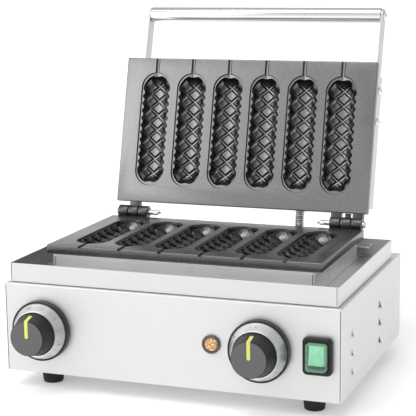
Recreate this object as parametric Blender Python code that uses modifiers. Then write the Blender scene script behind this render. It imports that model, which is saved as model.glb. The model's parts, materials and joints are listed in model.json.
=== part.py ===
"""Countertop corn dog maker with six waffle moulds, its lid open, as an assembly of separate pieces.

Lengths are metres: +X runs to the right along the front panel, +Y to the back and +Z up. The machine is
laid out from the point on the counter below the middle of the front panel, and one empty carries it all, so
that the world's origin is the middle of its footprint. The lid's pieces are laid out as if the lid were
closed, in a frame on the hinge axis, and that frame is then turned open.
"""

import math

import bmesh
import bpy
from mathutils import Euler, Matrix, Vector

OBJECT_NAME = "corn_dog_maker"

# Clearances, shared by all pieces
MERGE_DISTANCE = 0.00001
SEAT_GAP = 0.0003
RUNNING_GAP = 0.00003
SCREW_GAP = 0.0003
CUT_OVERRUN = 0.002
SHARP_ANGLE = math.radians(35)
ROUND_SIDES = 16
SCREW_SIDES = 12
KNOB_SIDES = 24

# Housing: a folded sheet box, open below
HOUSING_WIDTH = 0.380
HOUSING_DEPTH = 0.270
HOUSING_HEIGHT = 0.0985
HOUSING_SHEET = 0.0010
HOUSING_BEND = 0.0015
FOOT_HEIGHT = 0.020
HOUSING_TOP = FOOT_HEIGHT + HOUSING_HEIGHT
DECK_LEDGE = 0.016

# Side louvres: sloped hoods over slots, in rows and columns on both sides
LOUVRE_ROWS = 3
LOUVRE_DROP = 0.0297
LOUVRE_ROW_PITCH = 0.0202
LOUVRE_FRONT_MARGIN = 0.041
LOUVRE_REAR_MARGIN = 0.035
LOUVRE_COLUMN_GAP = 0.050
LOUVRE_LENGTH = (HOUSING_DEPTH - LOUVRE_FRONT_MARGIN - LOUVRE_REAR_MARGIN - LOUVRE_COLUMN_GAP) / 2
LOUVRE_COLUMNS = (LOUVRE_FRONT_MARGIN, LOUVRE_FRONT_MARGIN + LOUVRE_LENGTH + LOUVRE_COLUMN_GAP)
LOUVRE_HEIGHT = 0.0102
LOUVRE_RISE = 0.0030
LOUVRE_ROOT = 0.0025
LOUVRE_SLOT_INSET = 0.0010

# Base plate with turned-up edges
BASE_SHEET = 0.0012
BASE_FLANGE = 0.012

# Drip tray: a raised pan on the housing
TRAY_SIDE_INSET = 0.0045
TRAY_FRONT_INSET = 0.0050
TRAY_REAR_INSET = 0.028
TRAY_HEIGHT = 0.021
TRAY_SHEET = 0.0012
TRAY_CORNER = 0.0025
TRAY_WIRE_SIDE_INSET = 0.051
TRAY_WIRE_END_INSET = 0.025

# Mould plates: two castings, alike but for the height of their hinge ears
PLATE_SIDE_INSET = 0.032
PLATE_FRONT = 0.0405
PLATE_REAR_SPACE = 0.0515
PLATE_WIDTH = HOUSING_WIDTH - 2 * PLATE_SIDE_INSET
PLATE_LENGTH = HOUSING_DEPTH - PLATE_FRONT - PLATE_REAR_SPACE
PLATE_THICKNESS = 0.010
PLATE_EDGE_ROUND = 0.0012
PLATE_RISE = 0.036

# Moulds: a shallow stadium recess, and in it a trough with square studs set cornerwise
MOULD_COUNT = 6
MOULD_SIDE_MARGIN = 0.017
MOULD_FRONT_MARGIN = 0.0184
MOULD_REAR_MARGIN = 0.0211
MOULD_RIDGE = 0.010
MOULD_PITCH = (PLATE_WIDTH - 2 * MOULD_SIDE_MARGIN) / MOULD_COUNT
RECESS_WIDTH = MOULD_PITCH - MOULD_RIDGE
RECESS_LENGTH = PLATE_LENGTH - MOULD_FRONT_MARGIN - MOULD_REAR_MARGIN
RECESS_DEPTH = 0.0010
TROUGH_SIDE_STEP = 0.0027
TROUGH_END_STEP = 0.00475
TROUGH_WIDTH = RECESS_WIDTH - 2 * TROUGH_SIDE_STEP
TROUGH_LENGTH = RECESS_LENGTH - 2 * TROUGH_END_STEP
TROUGH_DEPTH = 0.013
TROUGH_END_FACETS = 8
STUD_PITCH = 0.018
STUDS_TO_RIM = 1.5
STUD_HEIGHT = 0.0022
STUD_GROOVE = 0.0036
STUD_RIM_SHARE = 0.30
STUD_INSIDE_SHARE = 0.95
STICK_SLOT_WIDTH = 0.005
STICK_SLOT_OVERLAP = 0.008

# Pad: the thick middle on the back of each plate, behind the moulds
PAD_SIDE_MARGIN = 0.014
PAD_END_MARGIN = 0.00575
PAD_WIDTH = PLATE_WIDTH - 2 * PAD_SIDE_MARGIN
PAD_LENGTH = RECESS_LENGTH + 2 * PAD_END_MARGIN
PAD_DEPTH = 0.009
PAD_EDGE = 0.002

# Hinge: ears of the lower plate stand above its face, those of the upper plate lie behind it
HINGE_SETBACK = 0.0125
AXIS_ABOVE_LOWER = 0.0032
CLOSED_GAP = 0.0006
HINGE_SIDE_INSET = 0.024
HINGE_SPREAD = PLATE_WIDTH / 2 - HINGE_SIDE_INSET
KNUCKLE_WIDTH = 0.0122
KNUCKLE_GAP = 0.0008
BARREL_RADIUS = 0.00765
BARREL_ARC_STEPS = 14
EAR_ROOT = 0.003
EAR_SET_DOWN = 0.0005
HEEL_WIDTH = 0.007
HEEL_START = 0.004
HEEL_THICKNESS = 0.003
HEEL_ROOT = 0.004
LID_LEAN = math.radians(15)
OPEN_ANGLE = math.pi / 2 + LID_LEAN

# Hinge pins with a round head, and a split ring through each pin's end
PIN_RADIUS = 0.003
PIN_HEAD_RADIUS = 0.0039
PIN_HEAD_LENGTH = 0.0045
PIN_TAIL = 0.0128
RING_RADIUS = 0.0055
RING_WIRE = 0.0008
RING_SIDES = 6
PIN_HOLE_FROM_EAR = 0.0045
PIN_HOLE_RADIUS = 0.0016

# Chamber under the lower plate
CHAMBER_SIDE_INSET = 0.007
CHAMBER_WIDTH = PLATE_WIDTH - 2 * CHAMBER_SIDE_INSET
CHAMBER_SHEET = 0.0012
CHAMBER_FRONT_INSET = 0.0005
CHAMBER_REAR_INSET = 0.004

# Heating element: a hairpin tube clamped under the pad
ELEMENT_RADIUS = 0.004
ELEMENT_END_INSET = 0.026
ELEMENT_SIDE_INSET = 0.035
ELEMENT_RUN = PAD_WIDTH - 2 * ELEMENT_END_INSET
ELEMENT_SPREAD = PAD_LENGTH - 2 * ELEMENT_SIDE_INSET
ELEMENT_TAIL = 0.012
ELEMENT_BEND_STEPS = 9
CLAMP_WIDTH = 0.014
CLAMP_THICKNESS = 0.002
CLAMP_OVERHANG = 0.008
CLAMP_POST_RADIUS = 0.004

# Lid cover: a thin pan behind the upper plate
COVER_SIDE_INSET = 0.0055
COVER_WIDTH = PLATE_WIDTH - 2 * COVER_SIDE_INSET
COVER_DEPTH = 0.0467
COVER_HINGE_MARGIN = 0.0095
COVER_FRONT_MARGIN = 0.010
COVER_SHEET = 0.0010
COVER_BEND = 0.006

# Handle: a tube between two flat arms that run into the cover
ARM_WIDTH = 0.016
ARM_THICKNESS = 0.0025
ARM_TILT = math.radians(2.35)
ARM_INSIDE = 0.065
ARM_SCREWS_INSIDE = (0.018, 0.0555)
ARM_END_STEPS = 8
ARM_SLOT_GAP = 0.0006
HANDLE_BEYOND = 0.064
HANDLE_REACH = PLATE_LENGTH + HANDLE_BEYOND
HANDLE_HEIGHT = 0.0446
HANDLE_RADIUS = 0.00925
HANDLE_WALL = 0.0012
HANDLE_PLUG = 0.010
SCREW_RADIUS = 0.0025
ARM_SCREW_HEAD = 0.005
ARM_SCREW_RISE = 0.003
END_SCREW_HEAD = 0.006
END_SCREW_RISE = 0.003
END_SCREW_LENGTH = 0.011
ARM_SCREW_LENGTH = 0.0062

# Controls on the front panel; heights are along the panel's normal, in front of it
CONTROL_BELOW_MIDDLE = 0.00025
THERMOSTAT_INSET = 0.045
TIMER_INSET = 0.086
BEZEL_RADIUS = 0.035
BEZEL_RISE = 0.0050
BEZEL_EDGE = 0.0016
BEZEL_RING_WIDTH = 0.0040
BEZEL_FLOOR = 0.0020
BEZEL_HOLE = 0.0075
DIAL_RADIUS = 0.0307
DIAL_TOP_RADIUS = 0.0260
DIAL_BORE = 0.0250
DIAL_SKIRT = 0.0054
DIAL_RISE = 0.0160
KNOB_RADIUS = 0.0244
KNOB_FACE_RADIUS = 0.0198
KNOB_EDGE = 0.0010
KNOB_BACK = 0.0040
KNOB_RISE = 0.0385
SHAFT_RADIUS = 0.003
SHAFT_SEAT = 0.026
SHAFT_TAIL = 0.010
BUSHING_RADIUS = 0.006
BUSHING_RISE = 0.0018
CONTROL_BODY_WIDTH = 0.042
CONTROL_BODY_HEIGHT = 0.040
CONTROL_BODY_DEPTH = 0.030
POINTER_WIDTH = 0.0032
POINTER_DEPTH = 0.0011
POINTER_PROUD = 0.0002
POINTER_SIDE_SHARE = 0.40

# Lamp
LAMP_INSET = 0.1385
LAMP_FLANGE_RADIUS = 0.010
LAMP_FLANGE_RISE = 0.0030
LAMP_FLANGE_EDGE = 0.0008
LAMP_BARREL_RADIUS = 0.0083
LAMP_BORE = 0.0077
LAMP_BORE_DEPTH = 0.006
LAMP_DEPTH = 0.022
LENS_RISE = 0.0046
LENS_FACE_RADIUS = 0.0046
LENS_SIDES = 12

# Rocker switch under a clear splash cover
SWITCH_INSET = 0.0229
SWITCH_WIDTH = 0.0337
SWITCH_HEIGHT = 0.0400
SWITCH_CORNER = 0.005
SWITCH_RISE = 0.0075
SWITCH_EDGE = 0.0015
WINDOW_WIDTH = 0.0250
WINDOW_HEIGHT = 0.0298
WINDOW_CORNER = 0.0025
SPLASH_RISE = 0.0068
SPLASH_WALL = 0.0010
SWITCH_BODY_DEPTH = 0.024
SWITCH_COLLAR_WIDTH = 0.0200
SWITCH_COLLAR_HEIGHT = 0.0246
SWITCH_COLLAR_WALL = 0.0015
SWITCH_COLLAR_RISE = 0.0020
ROCKER_WIDTH = 0.0156
ROCKER_HEIGHT = 0.0200
ROCKER_RIDGE = 0.0014
ROCKER_TIP = 0.0028
ROCKER_PIVOT_DEPTH = 0.0010
ROCKER_BACK = 0.0050
ROCKER_BACK_HEIGHT = 0.0170
ROCKER_TILT = math.radians(10)
PIVOT_RADIUS = 0.0012
PIVOT_LENGTH = 0.0010
CORNER_STEPS = 3

# Feet
FOOT_SIDE_INSET = 0.038
FOOT_INSET = 0.035
FOOT_TOP_RADIUS = 0.013
FOOT_BOTTOM_RADIUS = 0.011
FOOT_EDGE = 0.0012
FOOT_COUNTERBORE = 0.0055
FOOT_COUNTERBORE_DEPTH = 0.008
FOOT_SCREW_HEAD = 0.0045
FOOT_SCREW_HEAD_HEIGHT = 0.003
FOOT_SCREW_TAIL = 0.006

# Glands for the conduit and the mains lead
GLAND_NUT_WIDTH = 0.0185
GLAND_NUT_HEIGHT = 0.009
LOCKNUT_HEIGHT = 0.0035
GLAND_BARREL = 0.0070
GLAND_BORE = 0.0059
CORD_GLAND_INSET = 0.040
CORD_GLAND_RISE = 0.030

# Conduit: a ribbed metal hose from the lid through the rear deck
CONDUIT_INSET = 0.0805
CONDUIT_LID_HEIGHT = 0.020
CONDUIT_DECK_GAP = 0.010
CONDUIT_RADIUS = 0.0055
CONDUIT_GROOVE = 0.0004
CONDUIT_BORE = 0.0042
CONDUIT_RIB_PITCH = 0.0022
CONDUIT_SEAT = 0.006
CONDUIT_STRAIGHT = 0.011
CONDUIT_TAIL = 0.045
CONDUIT_BEND_STEPS = 24
CONDUIT_BORE_STEPS = 12

# Bracket in the rear corner of the tray
BRACKET_WIDTH = 0.018
BRACKET_INSET = 0.036
BRACKET_REACH = 0.0155
BRACKET_RISE = 0.0145
BRACKET_DROP = 0.010
BRACKET_SHEET = 0.0015

# Terminal block on the base plate
TERMINAL_SIZE = (0.046, 0.022, 0.018)
TERMINAL_SIDE_INSET = 0.080
TERMINAL_REAR_INSET = 0.036
TERMINAL_EDGE = 0.0015
TERMINAL_POLES = 3
TERMINAL_WELL = 0.004

# Places that follow from the sizes above
HOUSING_SIDE = HOUSING_WIDTH / 2
THERMOSTAT_X = THERMOSTAT_INSET - HOUSING_SIDE
TIMER_X = HOUSING_SIDE - TIMER_INSET
LAMP_X = HOUSING_SIDE - LAMP_INSET
SWITCH_X = HOUSING_SIDE - SWITCH_INSET
CONTROL_Z = FOOT_HEIGHT + HOUSING_HEIGHT / 2 - CONTROL_BELOW_MIDDLE
FOOT_X = HOUSING_SIDE - FOOT_SIDE_INSET
BRACKET_X = HOUSING_SIDE - BRACKET_INSET
CORD_GLAND_X = CORD_GLAND_INSET - HOUSING_SIDE
TERMINAL_X = TERMINAL_SIDE_INSET - HOUSING_SIDE
CONDUIT_X = COVER_WIDTH / 2 - CONDUIT_INSET
TRAY_WIRE_WIDTH = CHAMBER_WIDTH - 2 * TRAY_WIRE_SIDE_INSET
TRAY_WIRE_DEPTH = PAD_LENGTH - 2 * TRAY_WIRE_END_INSET
ARM_OUTSIDE = HANDLE_BEYOND + COVER_FRONT_MARGIN
ARM_LENGTH = ARM_OUTSIDE + ARM_INSIDE
ARM_SCREW_REACHES = [ARM_OUTSIDE + inside for inside in ARM_SCREWS_INSIDE]
TRAY_FLOOR = HOUSING_TOP + SEAT_GAP
TRAY_REAR = HOUSING_DEPTH - TRAY_REAR_INSET
LOWER_FACE = HOUSING_TOP + PLATE_RISE
PLATE_REAR = PLATE_FRONT + PLATE_LENGTH
AXIS_Y = PLATE_REAR + HINGE_SETBACK
AXIS_Z = LOWER_FACE + AXIS_ABOVE_LOWER
UPPER_FACE = CLOSED_GAP - AXIS_ABOVE_LOWER
MOULD_Y = -(HINGE_SETBACK + PLATE_LENGTH - MOULD_FRONT_MARGIN - RECESS_LENGTH / 2)
EAR_PITCH = KNUCKLE_WIDTH + KNUCKLE_GAP
HINGE_OUTER = HINGE_SPREAD + EAR_PITCH + KNUCKLE_WIDTH / 2
HINGE_INNER = HINGE_SPREAD - EAR_PITCH - KNUCKLE_WIDTH / 2
ARM_X = COVER_WIDTH / 2 - COVER_SHEET - SEAT_GAP - ARM_THICKNESS / 2
HANDLE_HALF_LENGTH = ARM_X - ARM_THICKNESS / 2 - SEAT_GAP
HANDLE_Y = -(HINGE_SETBACK + HANDLE_REACH)
HANDLE_Z = UPPER_FACE + HANDLE_HEIGHT
REAR_REACH = AXIS_Y + HANDLE_Y * math.cos(OPEN_ANGLE) + HANDLE_Z * math.sin(OPEN_ANGLE) + HANDLE_RADIUS
FRONT_REACH = KNOB_RISE + POINTER_PROUD
FOOTPRINT_MIDDLE = (REAR_REACH - FRONT_REACH) / 2

# Turns that lay a shape drawn about Z onto another axis, or a flat outline on edge
ALONG_FRONT = (math.pi / 2, 0, 0)
ALONG_BACK = (-math.pi / 2, 0, 0)
ALONG_RIGHT = (0, math.pi / 2, 0)
ALONG_LEFT = (0, -math.pi / 2, 0)
SIDE_VIEW = (math.pi / 2, 0, math.pi / 2)
FRONT_PROFILE = (math.pi / 2, 0, -math.pi / 2)


def clear_scene():
    """Empties the scene and makes the two collections: one for the pieces, one for the cutters."""
    for item in list(bpy.data.objects):
        bpy.data.objects.remove(item, do_unlink=True)
    collections = []
    for name in (OBJECT_NAME, "cutters"):
        collection = bpy.data.collections.new(name)
        bpy.context.scene.collection.children.link(collection)
        collections.append(collection)
    return collections


PIECES, CUTTERS = clear_scene()


def material(name, colour, roughness, metallic, alpha=1.0):
    """Returns a material with one Principled shader."""
    result = bpy.data.materials.new(name)
    result.use_nodes = True
    shader = result.node_tree.nodes["Principled BSDF"]
    shader.inputs["Base Color"].default_value = (*colour, 1.0)
    shader.inputs["Roughness"].default_value = roughness
    shader.inputs["Metallic"].default_value = metallic
    shader.inputs["Alpha"].default_value = alpha
    return result


STEEL = material("brushed_steel", (0.78, 0.78, 0.77), 0.32, 1.0)
TRAY_STEEL = material("tray_steel", (0.74, 0.74, 0.73), 0.35, 1.0)
COVER_STEEL = material("cover_steel", (0.80, 0.80, 0.79), 0.38, 1.0)
BRIGHT_STEEL = material("bright_steel", (0.85, 0.85, 0.85), 0.15, 1.0)
CASTING = material("coated_casting", (0.085, 0.087, 0.090), 0.45, 0.3)
HOSE_STEEL = material("hose_steel", (0.62, 0.62, 0.60), 0.28, 1.0)
ELEMENT_STEEL = material("element_steel", (0.30, 0.29, 0.27), 0.45, 1.0)
BLACK_PLASTIC = material("black_plastic", (0.022, 0.022, 0.024), 0.42, 0.0)
KNOB_PLASTIC = material("knob_plastic", (0.105, 0.105, 0.108), 0.48, 0.0)
DIAL_METAL = material("dial_metal", (0.72, 0.72, 0.73), 0.28, 1.0)
POINTER_YELLOW = material("pointer_yellow", (0.72, 0.75, 0.16), 0.45, 0.0)
LAMP_AMBER = material("lamp_amber", (0.90, 0.34, 0.08), 0.15, 0.0)
SPLASH_GREEN = material("splash_green", (0.13, 0.50, 0.26), 0.20, 0.0, 0.55)
ROCKER_GREEN = material("rocker_green", (0.20, 0.75, 0.36), 0.30, 0.0)
RUBBER = material("rubber", (0.020, 0.020, 0.021), 0.75, 0.0)
TERMINAL_PLASTIC = material("terminal_plastic", (0.80, 0.79, 0.74), 0.50, 0.0)


def place(name, mesh, look, parent, location=(0, 0, 0), rotation=(0, 0, 0)):
    """Adds a piece of the machine."""
    item = bpy.data.objects.new(name, mesh)
    PIECES.objects.link(item)
    item.parent = parent
    item.location = location
    item.rotation_euler = rotation
    if not mesh.materials:
        mesh.materials.append(look)
    return item


def cutter(name, mesh, parent, location=(0, 0, 0), rotation=(0, 0, 0)):
    """Adds a shape that a Boolean uses, which isn't a piece itself."""
    item = bpy.data.objects.new(name, mesh)
    CUTTERS.objects.link(item)
    item.parent = parent
    item.location = location
    item.rotation_euler = rotation
    item.hide_render = True
    item.display_type = "WIRE"
    return item


def combine(target, operand, operation="DIFFERENCE"):
    """Cuts the operand out of the target, or joins it on."""
    modifier = target.modifiers.new(operand.name, "BOOLEAN")
    modifier.operation = operation
    modifier.solver = "EXACT"
    modifier.object = operand


def frame(name, parent, location=(0, 0, 0), rotation=(0, 0, 0)):
    """Adds an empty that carries other objects."""
    item = bpy.data.objects.new(name, None)
    PIECES.objects.link(item)
    item.parent = parent
    item.location = location
    item.rotation_euler = rotation
    return item


def finish_mesh(bm, name):
    """Turns a bmesh into a mesh with its faces pointing out and its round sides smooth."""
    bmesh.ops.recalc_face_normals(bm, faces=bm.faces)
    mesh = bpy.data.meshes.new(name)
    bm.to_mesh(mesh)
    bm.free()
    mesh.shade_smooth()
    mesh.set_sharp_from_angle(angle=SHARP_ANGLE)
    return mesh


def frozen(item, name):
    """Returns an object's evaluated mesh, welded, and removes the object."""
    depsgraph = bpy.context.evaluated_depsgraph_get()
    mesh = bpy.data.meshes.new_from_object(item.evaluated_get(depsgraph))
    bpy.data.objects.remove(item, do_unlink=True)
    bm = bmesh.new()
    bm.from_mesh(mesh)
    bpy.data.meshes.remove(mesh)
    bmesh.ops.remove_doubles(bm, verts=bm.verts, dist=MERGE_DISTANCE)
    return finish_mesh(bm, name)


def block_mesh(name, size, bevel=0.0, segments=1):
    """Returns a box about its own middle, with its edges bevelled if asked."""
    bm = bmesh.new()
    bmesh.ops.create_cube(bm, size=1.0)
    bmesh.ops.scale(bm, vec=size, verts=bm.verts)
    if bevel:
        bmesh.ops.bevel(bm, geom=bm.edges[:], offset=bevel, segments=segments, profile=0.5, affect="EDGES")
    return finish_mesh(bm, name)


def pan_mesh(name, size, open_sides, bend=0.0, segments=1, is_bent=None):
    """Returns a box without its open sides, for Solidify, with a bend at its edges or at those picked."""
    bm = bmesh.new()
    bmesh.ops.create_cube(bm, size=1.0)
    open_faces = [face for face in bm.faces if any(face.normal.dot(side) > 0.5 for side in open_sides)]
    bmesh.ops.delete(bm, geom=open_faces, context="FACES_ONLY")
    bmesh.ops.scale(bm, vec=size, verts=bm.verts)
    if bend:
        folds = [edge for edge in bm.edges if not edge.is_boundary]
        edges = [edge for edge in folds if is_bent is None or is_bent(edge)]
        bmesh.ops.bevel(bm, geom=edges, offset=bend, segments=segments, profile=0.5, affect="EDGES")
    return finish_mesh(bm, name)


def is_upright(edge):
    """Tells whether an edge of a pan runs along Z."""
    first, second = edge.verts
    return abs(first.co.z - second.co.z) > MERGE_DISTANCE


def is_level_top(edge):
    """Tells whether an edge of a pan lies level, above its middle."""
    return not is_upright(edge) and edge.verts[0].co.z > 0


def even_shading(item):
    """Lets the large flats of a sheet piece, and not its bends, lead its smooth shading."""
    modifier = item.modifiers.new("even_shading", "WEIGHTED_NORMAL")
    modifier.keep_sharp = True


def solidify(item, thickness):
    """Gives a pan its wall, inwards."""
    modifier = item.modifiers.new("wall", "SOLIDIFY")
    modifier.thickness = thickness
    modifier.offset = -1.0
    modifier.use_even_offset = True


def cylinder_mesh(name, radius, low, high, sides=ROUND_SIDES):
    """Returns a cylinder along Z between two heights."""
    bm = bmesh.new()
    middle = Matrix.Translation((0, 0, (low + high) / 2))
    bmesh.ops.create_cone(
        bm, cap_ends=True, segments=sides, radius1=radius, radius2=radius, depth=high - low, matrix=middle
    )
    return finish_mesh(bm, name)


def turned_mesh(name, profile, sides=ROUND_SIDES, closed=False):
    """Returns a profile of (radius, height) points, listed down its outer side, turned about Z."""
    edges = [(index, index + 1) for index in range(len(profile) - 1)]
    if closed:
        edges.append((len(profile) - 1, 0))
    mesh = bpy.data.meshes.new(name)
    mesh.from_pydata([(radius, 0, height) for radius, height in profile], edges, [])
    item = cutter(name, mesh, None)
    screw = item.modifiers.new("turn", "SCREW")
    screw.axis = "Z"
    screw.angle = 2 * math.pi
    screw.steps = sides
    screw.render_steps = sides
    screw.use_merge_vertices = True
    screw.merge_threshold = MERGE_DISTANCE
    bpy.context.view_layer.update()
    return frozen(item, name)


def curve_mesh(curve, name):
    """Returns a curve's surface as a welded mesh, and removes the curve."""
    item = cutter(name, curve, None)
    bpy.context.view_layer.update()
    mesh = frozen(item, name)
    bpy.data.curves.remove(curve)
    return mesh


def outline_mesh(name, loops, thickness):
    """Returns a plate about its middle plane from closed outlines; the inner ones are holes."""
    curve = bpy.data.curves.new(name, "CURVE")
    curve.dimensions = "2D"
    curve.fill_mode = "BOTH"
    curve.extrude = thickness / 2
    for loop in loops:
        add_spline(curve, [(across, up, 0) for across, up in loop], closed=True)
    return curve_mesh(curve, name)


def add_spline(curve, points, closed=False, radii=None):
    """Adds a straight-sided spline through the points."""
    spline = curve.splines.new("POLY")
    spline.points.add(len(points) - 1)
    for index, point in enumerate(points):
        spline.points[index].co = (*point, 1.0)
        if radii:
            spline.points[index].radius = radii[index]
    spline.use_cyclic_u = closed


def tube_curve(name, points, radius, radii=None):
    """Returns a round tube along the points, as a curve with filled ends."""
    curve = bpy.data.curves.new(name, "CURVE")
    curve.dimensions = "3D"
    curve.bevel_depth = radius
    curve.bevel_resolution = 2
    curve.use_fill_caps = True
    add_spline(curve, points, radii=radii)
    return curve


def arc(centre, radius, start, stop, steps):
    """Returns points along an arc, both ends included."""
    angles = [start + (stop - start) * index / steps for index in range(steps + 1)]
    return [(centre[0] + radius * math.cos(a), centre[1] + radius * math.sin(a)) for a in angles]


def circle(radius, sides=ROUND_SIDES, centre=(0, 0)):
    """Returns a closed circle."""
    return arc(centre, radius, 0, 2 * math.pi, sides)[:-1]


def rounded_rectangle(width, height, corner):
    """Returns a rectangle about the origin with round corners."""
    points = []
    for quarter, (side, level) in enumerate(((1, 1), (-1, 1), (-1, -1), (1, -1))):
        centre = (side * (width / 2 - corner), level * (height / 2 - corner))
        start = quarter * math.pi / 2
        points += arc(centre, corner, start, start + math.pi / 2, CORNER_STEPS)
    return points


def stadium(width, length, steps):
    """Returns a stadium outline about the origin, its length along Y."""
    radius = width / 2
    reach = length / 2 - radius
    return arc((0, reach), radius, 0, math.pi, steps) + arc((0, -reach), radius, math.pi, 2 * math.pi, steps)


def joined_mesh(name, mesh, matrices):
    """Returns one mesh that holds a copy of the given one at each matrix."""
    bm = bmesh.new()
    for matrix in matrices:
        start = len(bm.verts)
        bm.from_mesh(mesh)
        bm.verts.ensure_lookup_table()
        bmesh.ops.transform(bm, matrix=matrix, verts=bm.verts[start:])
    return finish_mesh(bm, name)


def mould_places():
    """Returns the middle of each mould across the plate."""
    first = -(MOULD_COUNT - 1) / 2 * MOULD_PITCH
    return [first + index * MOULD_PITCH for index in range(MOULD_COUNT)]


def clip_sheet(bm, point, normal):
    """Cuts away what lies past a plane."""
    geometry = bm.verts[:] + bm.edges[:] + bm.faces[:]
    bmesh.ops.bisect_plane(
        bm, geom=geometry, dist=MERGE_DISTANCE, plane_co=point, plane_no=normal, clear_outer=True
    )


def has_stud(middle):
    """Tells whether a cell of the flat pattern has its middle inside the trough."""
    radius = TROUGH_WIDTH / 2
    straight = TROUGH_LENGTH / 2 - radius
    if abs(middle.x) > math.pi * radius / 2:
        return False
    across = radius * math.sin(middle.x / radius)
    along = max(0, abs(middle.y) - straight)
    return math.hypot(across, along) < STUD_INSIDE_SHARE * radius


def flat_studs():
    """Returns the floor of a trough unrolled flat: square studs set cornerwise, with grooves between them.

    X runs around the trough and Y along it. The studs are squeezed a little across, so that their corners
    meet the trough's long sides. The sheet is clipped there, laid to the widths that it has in plan, and
    clipped to the round ends.
    """
    radius = TROUGH_WIDTH / 2
    straight = TROUGH_LENGTH / 2 - radius
    half_girth = math.pi * radius / 2
    cells = 2 * math.ceil((TROUGH_LENGTH / 2 + half_girth) / STUD_PITCH)
    half_size = cells * STUD_PITCH / math.sqrt(2) / 2
    bm = bmesh.new()
    turn = Matrix.Rotation(math.pi / 4, 4, "Z")
    bmesh.ops.create_grid(bm, x_segments=cells, y_segments=cells, size=half_size, matrix=turn)
    squeeze = half_girth / (STUD_PITCH * STUDS_TO_RIM)
    bmesh.ops.scale(bm, vec=(squeeze, 1, 1), verts=bm.verts)
    studs = [face for face in bm.faces if has_stud(face.calc_center_median())]
    bmesh.ops.inset_individual(
        bm, faces=studs, thickness=STUD_GROOVE / 2, depth=STUD_HEIGHT, use_even_offset=True
    )
    for side in (-1, 1):
        clip_sheet(bm, (side * half_girth, 0, 0), (side, 0, 0))
    for vertex in bm.verts:
        vertex.co.x = radius * math.sin(vertex.co.x / radius)
    facet_distance = radius * math.cos(math.pi / TROUGH_END_FACETS / 2)
    for end in (-1, 1):
        for index in range(TROUGH_END_FACETS):
            angle = math.pi * (index + 0.5) / TROUGH_END_FACETS
            normal = Vector((math.cos(angle), end * math.sin(angle), 0))
            clip_sheet(bm, Vector((0, end * straight, 0)) + normal * facet_distance, normal)
    return bm


def sink_studs(bm):
    """Lays the flat studs into the trough: its rim stays level and its studs get lower up the sides."""
    radius = TROUGH_WIDTH / 2
    straight = TROUGH_LENGTH / 2 - radius
    rim = {vertex for edge in bm.edges if edge.is_boundary for vertex in edge.verts}
    tops = [
        face
        for face in bm.faces
        if all(vertex.co.z > STUD_HEIGHT / 2 for vertex in face.verts) and not rim.intersection(face.verts)
    ]
    for vertex in bm.verts:
        height = vertex.co.z
        middle = max(-straight, min(straight, vertex.co.y))
        offset = Vector((vertex.co.x, vertex.co.y - middle, 0))
        if vertex in rim:
            offset = offset.normalized() * radius
        depth_share = 0 if vertex in rim else math.sqrt(max(0, 1 - (offset.length / radius) ** 2))
        lift = height * (STUD_RIM_SHARE + (1 - STUD_RIM_SHARE) * depth_share)
        offset *= 1 - lift / radius
        sunk = -depth_share * TROUGH_DEPTH * (1 - lift / radius)
        vertex.co = (offset.x, middle + offset.y, sunk)
    bmesh.ops.planar_faces(bm, faces=tops, iterations=20, factor=1.0)


def trough_mesh():
    """Returns the solid that one trough leaves out of a plate, its rim at zero height."""
    bm = flat_studs()
    sink_studs(bm)
    rim = [edge for edge in bm.edges if edge.is_boundary]
    wall = bmesh.ops.extrude_edge_only(bm, edges=rim)["geom"]
    raised = {item for item in wall if isinstance(item, bmesh.types.BMVert)}
    bmesh.ops.translate(bm, vec=(0, 0, RECESS_DEPTH + CUT_OVERRUN), verts=list(raised))
    mouth = [item for item in wall if isinstance(item, bmesh.types.BMEdge) and raised.issuperset(item.verts)]
    bmesh.ops.contextual_create(bm, geom=mouth)
    bmesh.ops.remove_doubles(bm, verts=bm.verts, dist=MERGE_DISTANCE)
    return finish_mesh(bm, "trough")


def ear_mesh(name, face):
    """Returns a hinge ear from the side: a barrel about the axis, with an arm that runs into the plate."""
    root = -(HINGE_SETBACK + EAR_ROOT)
    arm_top = face - EAR_SET_DOWN
    arm_bottom = face - PLATE_THICKNESS + EAR_SET_DOWN
    start = math.pi - math.asin(arm_top / BARREL_RADIUS)
    barrel = arc((0, 0), BARREL_RADIUS, start, -math.pi / 2, BARREL_ARC_STEPS)
    outline = [(root, arm_top)] + barrel + [(root, arm_bottom)]
    return outline_mesh(name, [outline], KNUCKLE_WIDTH)


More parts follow.
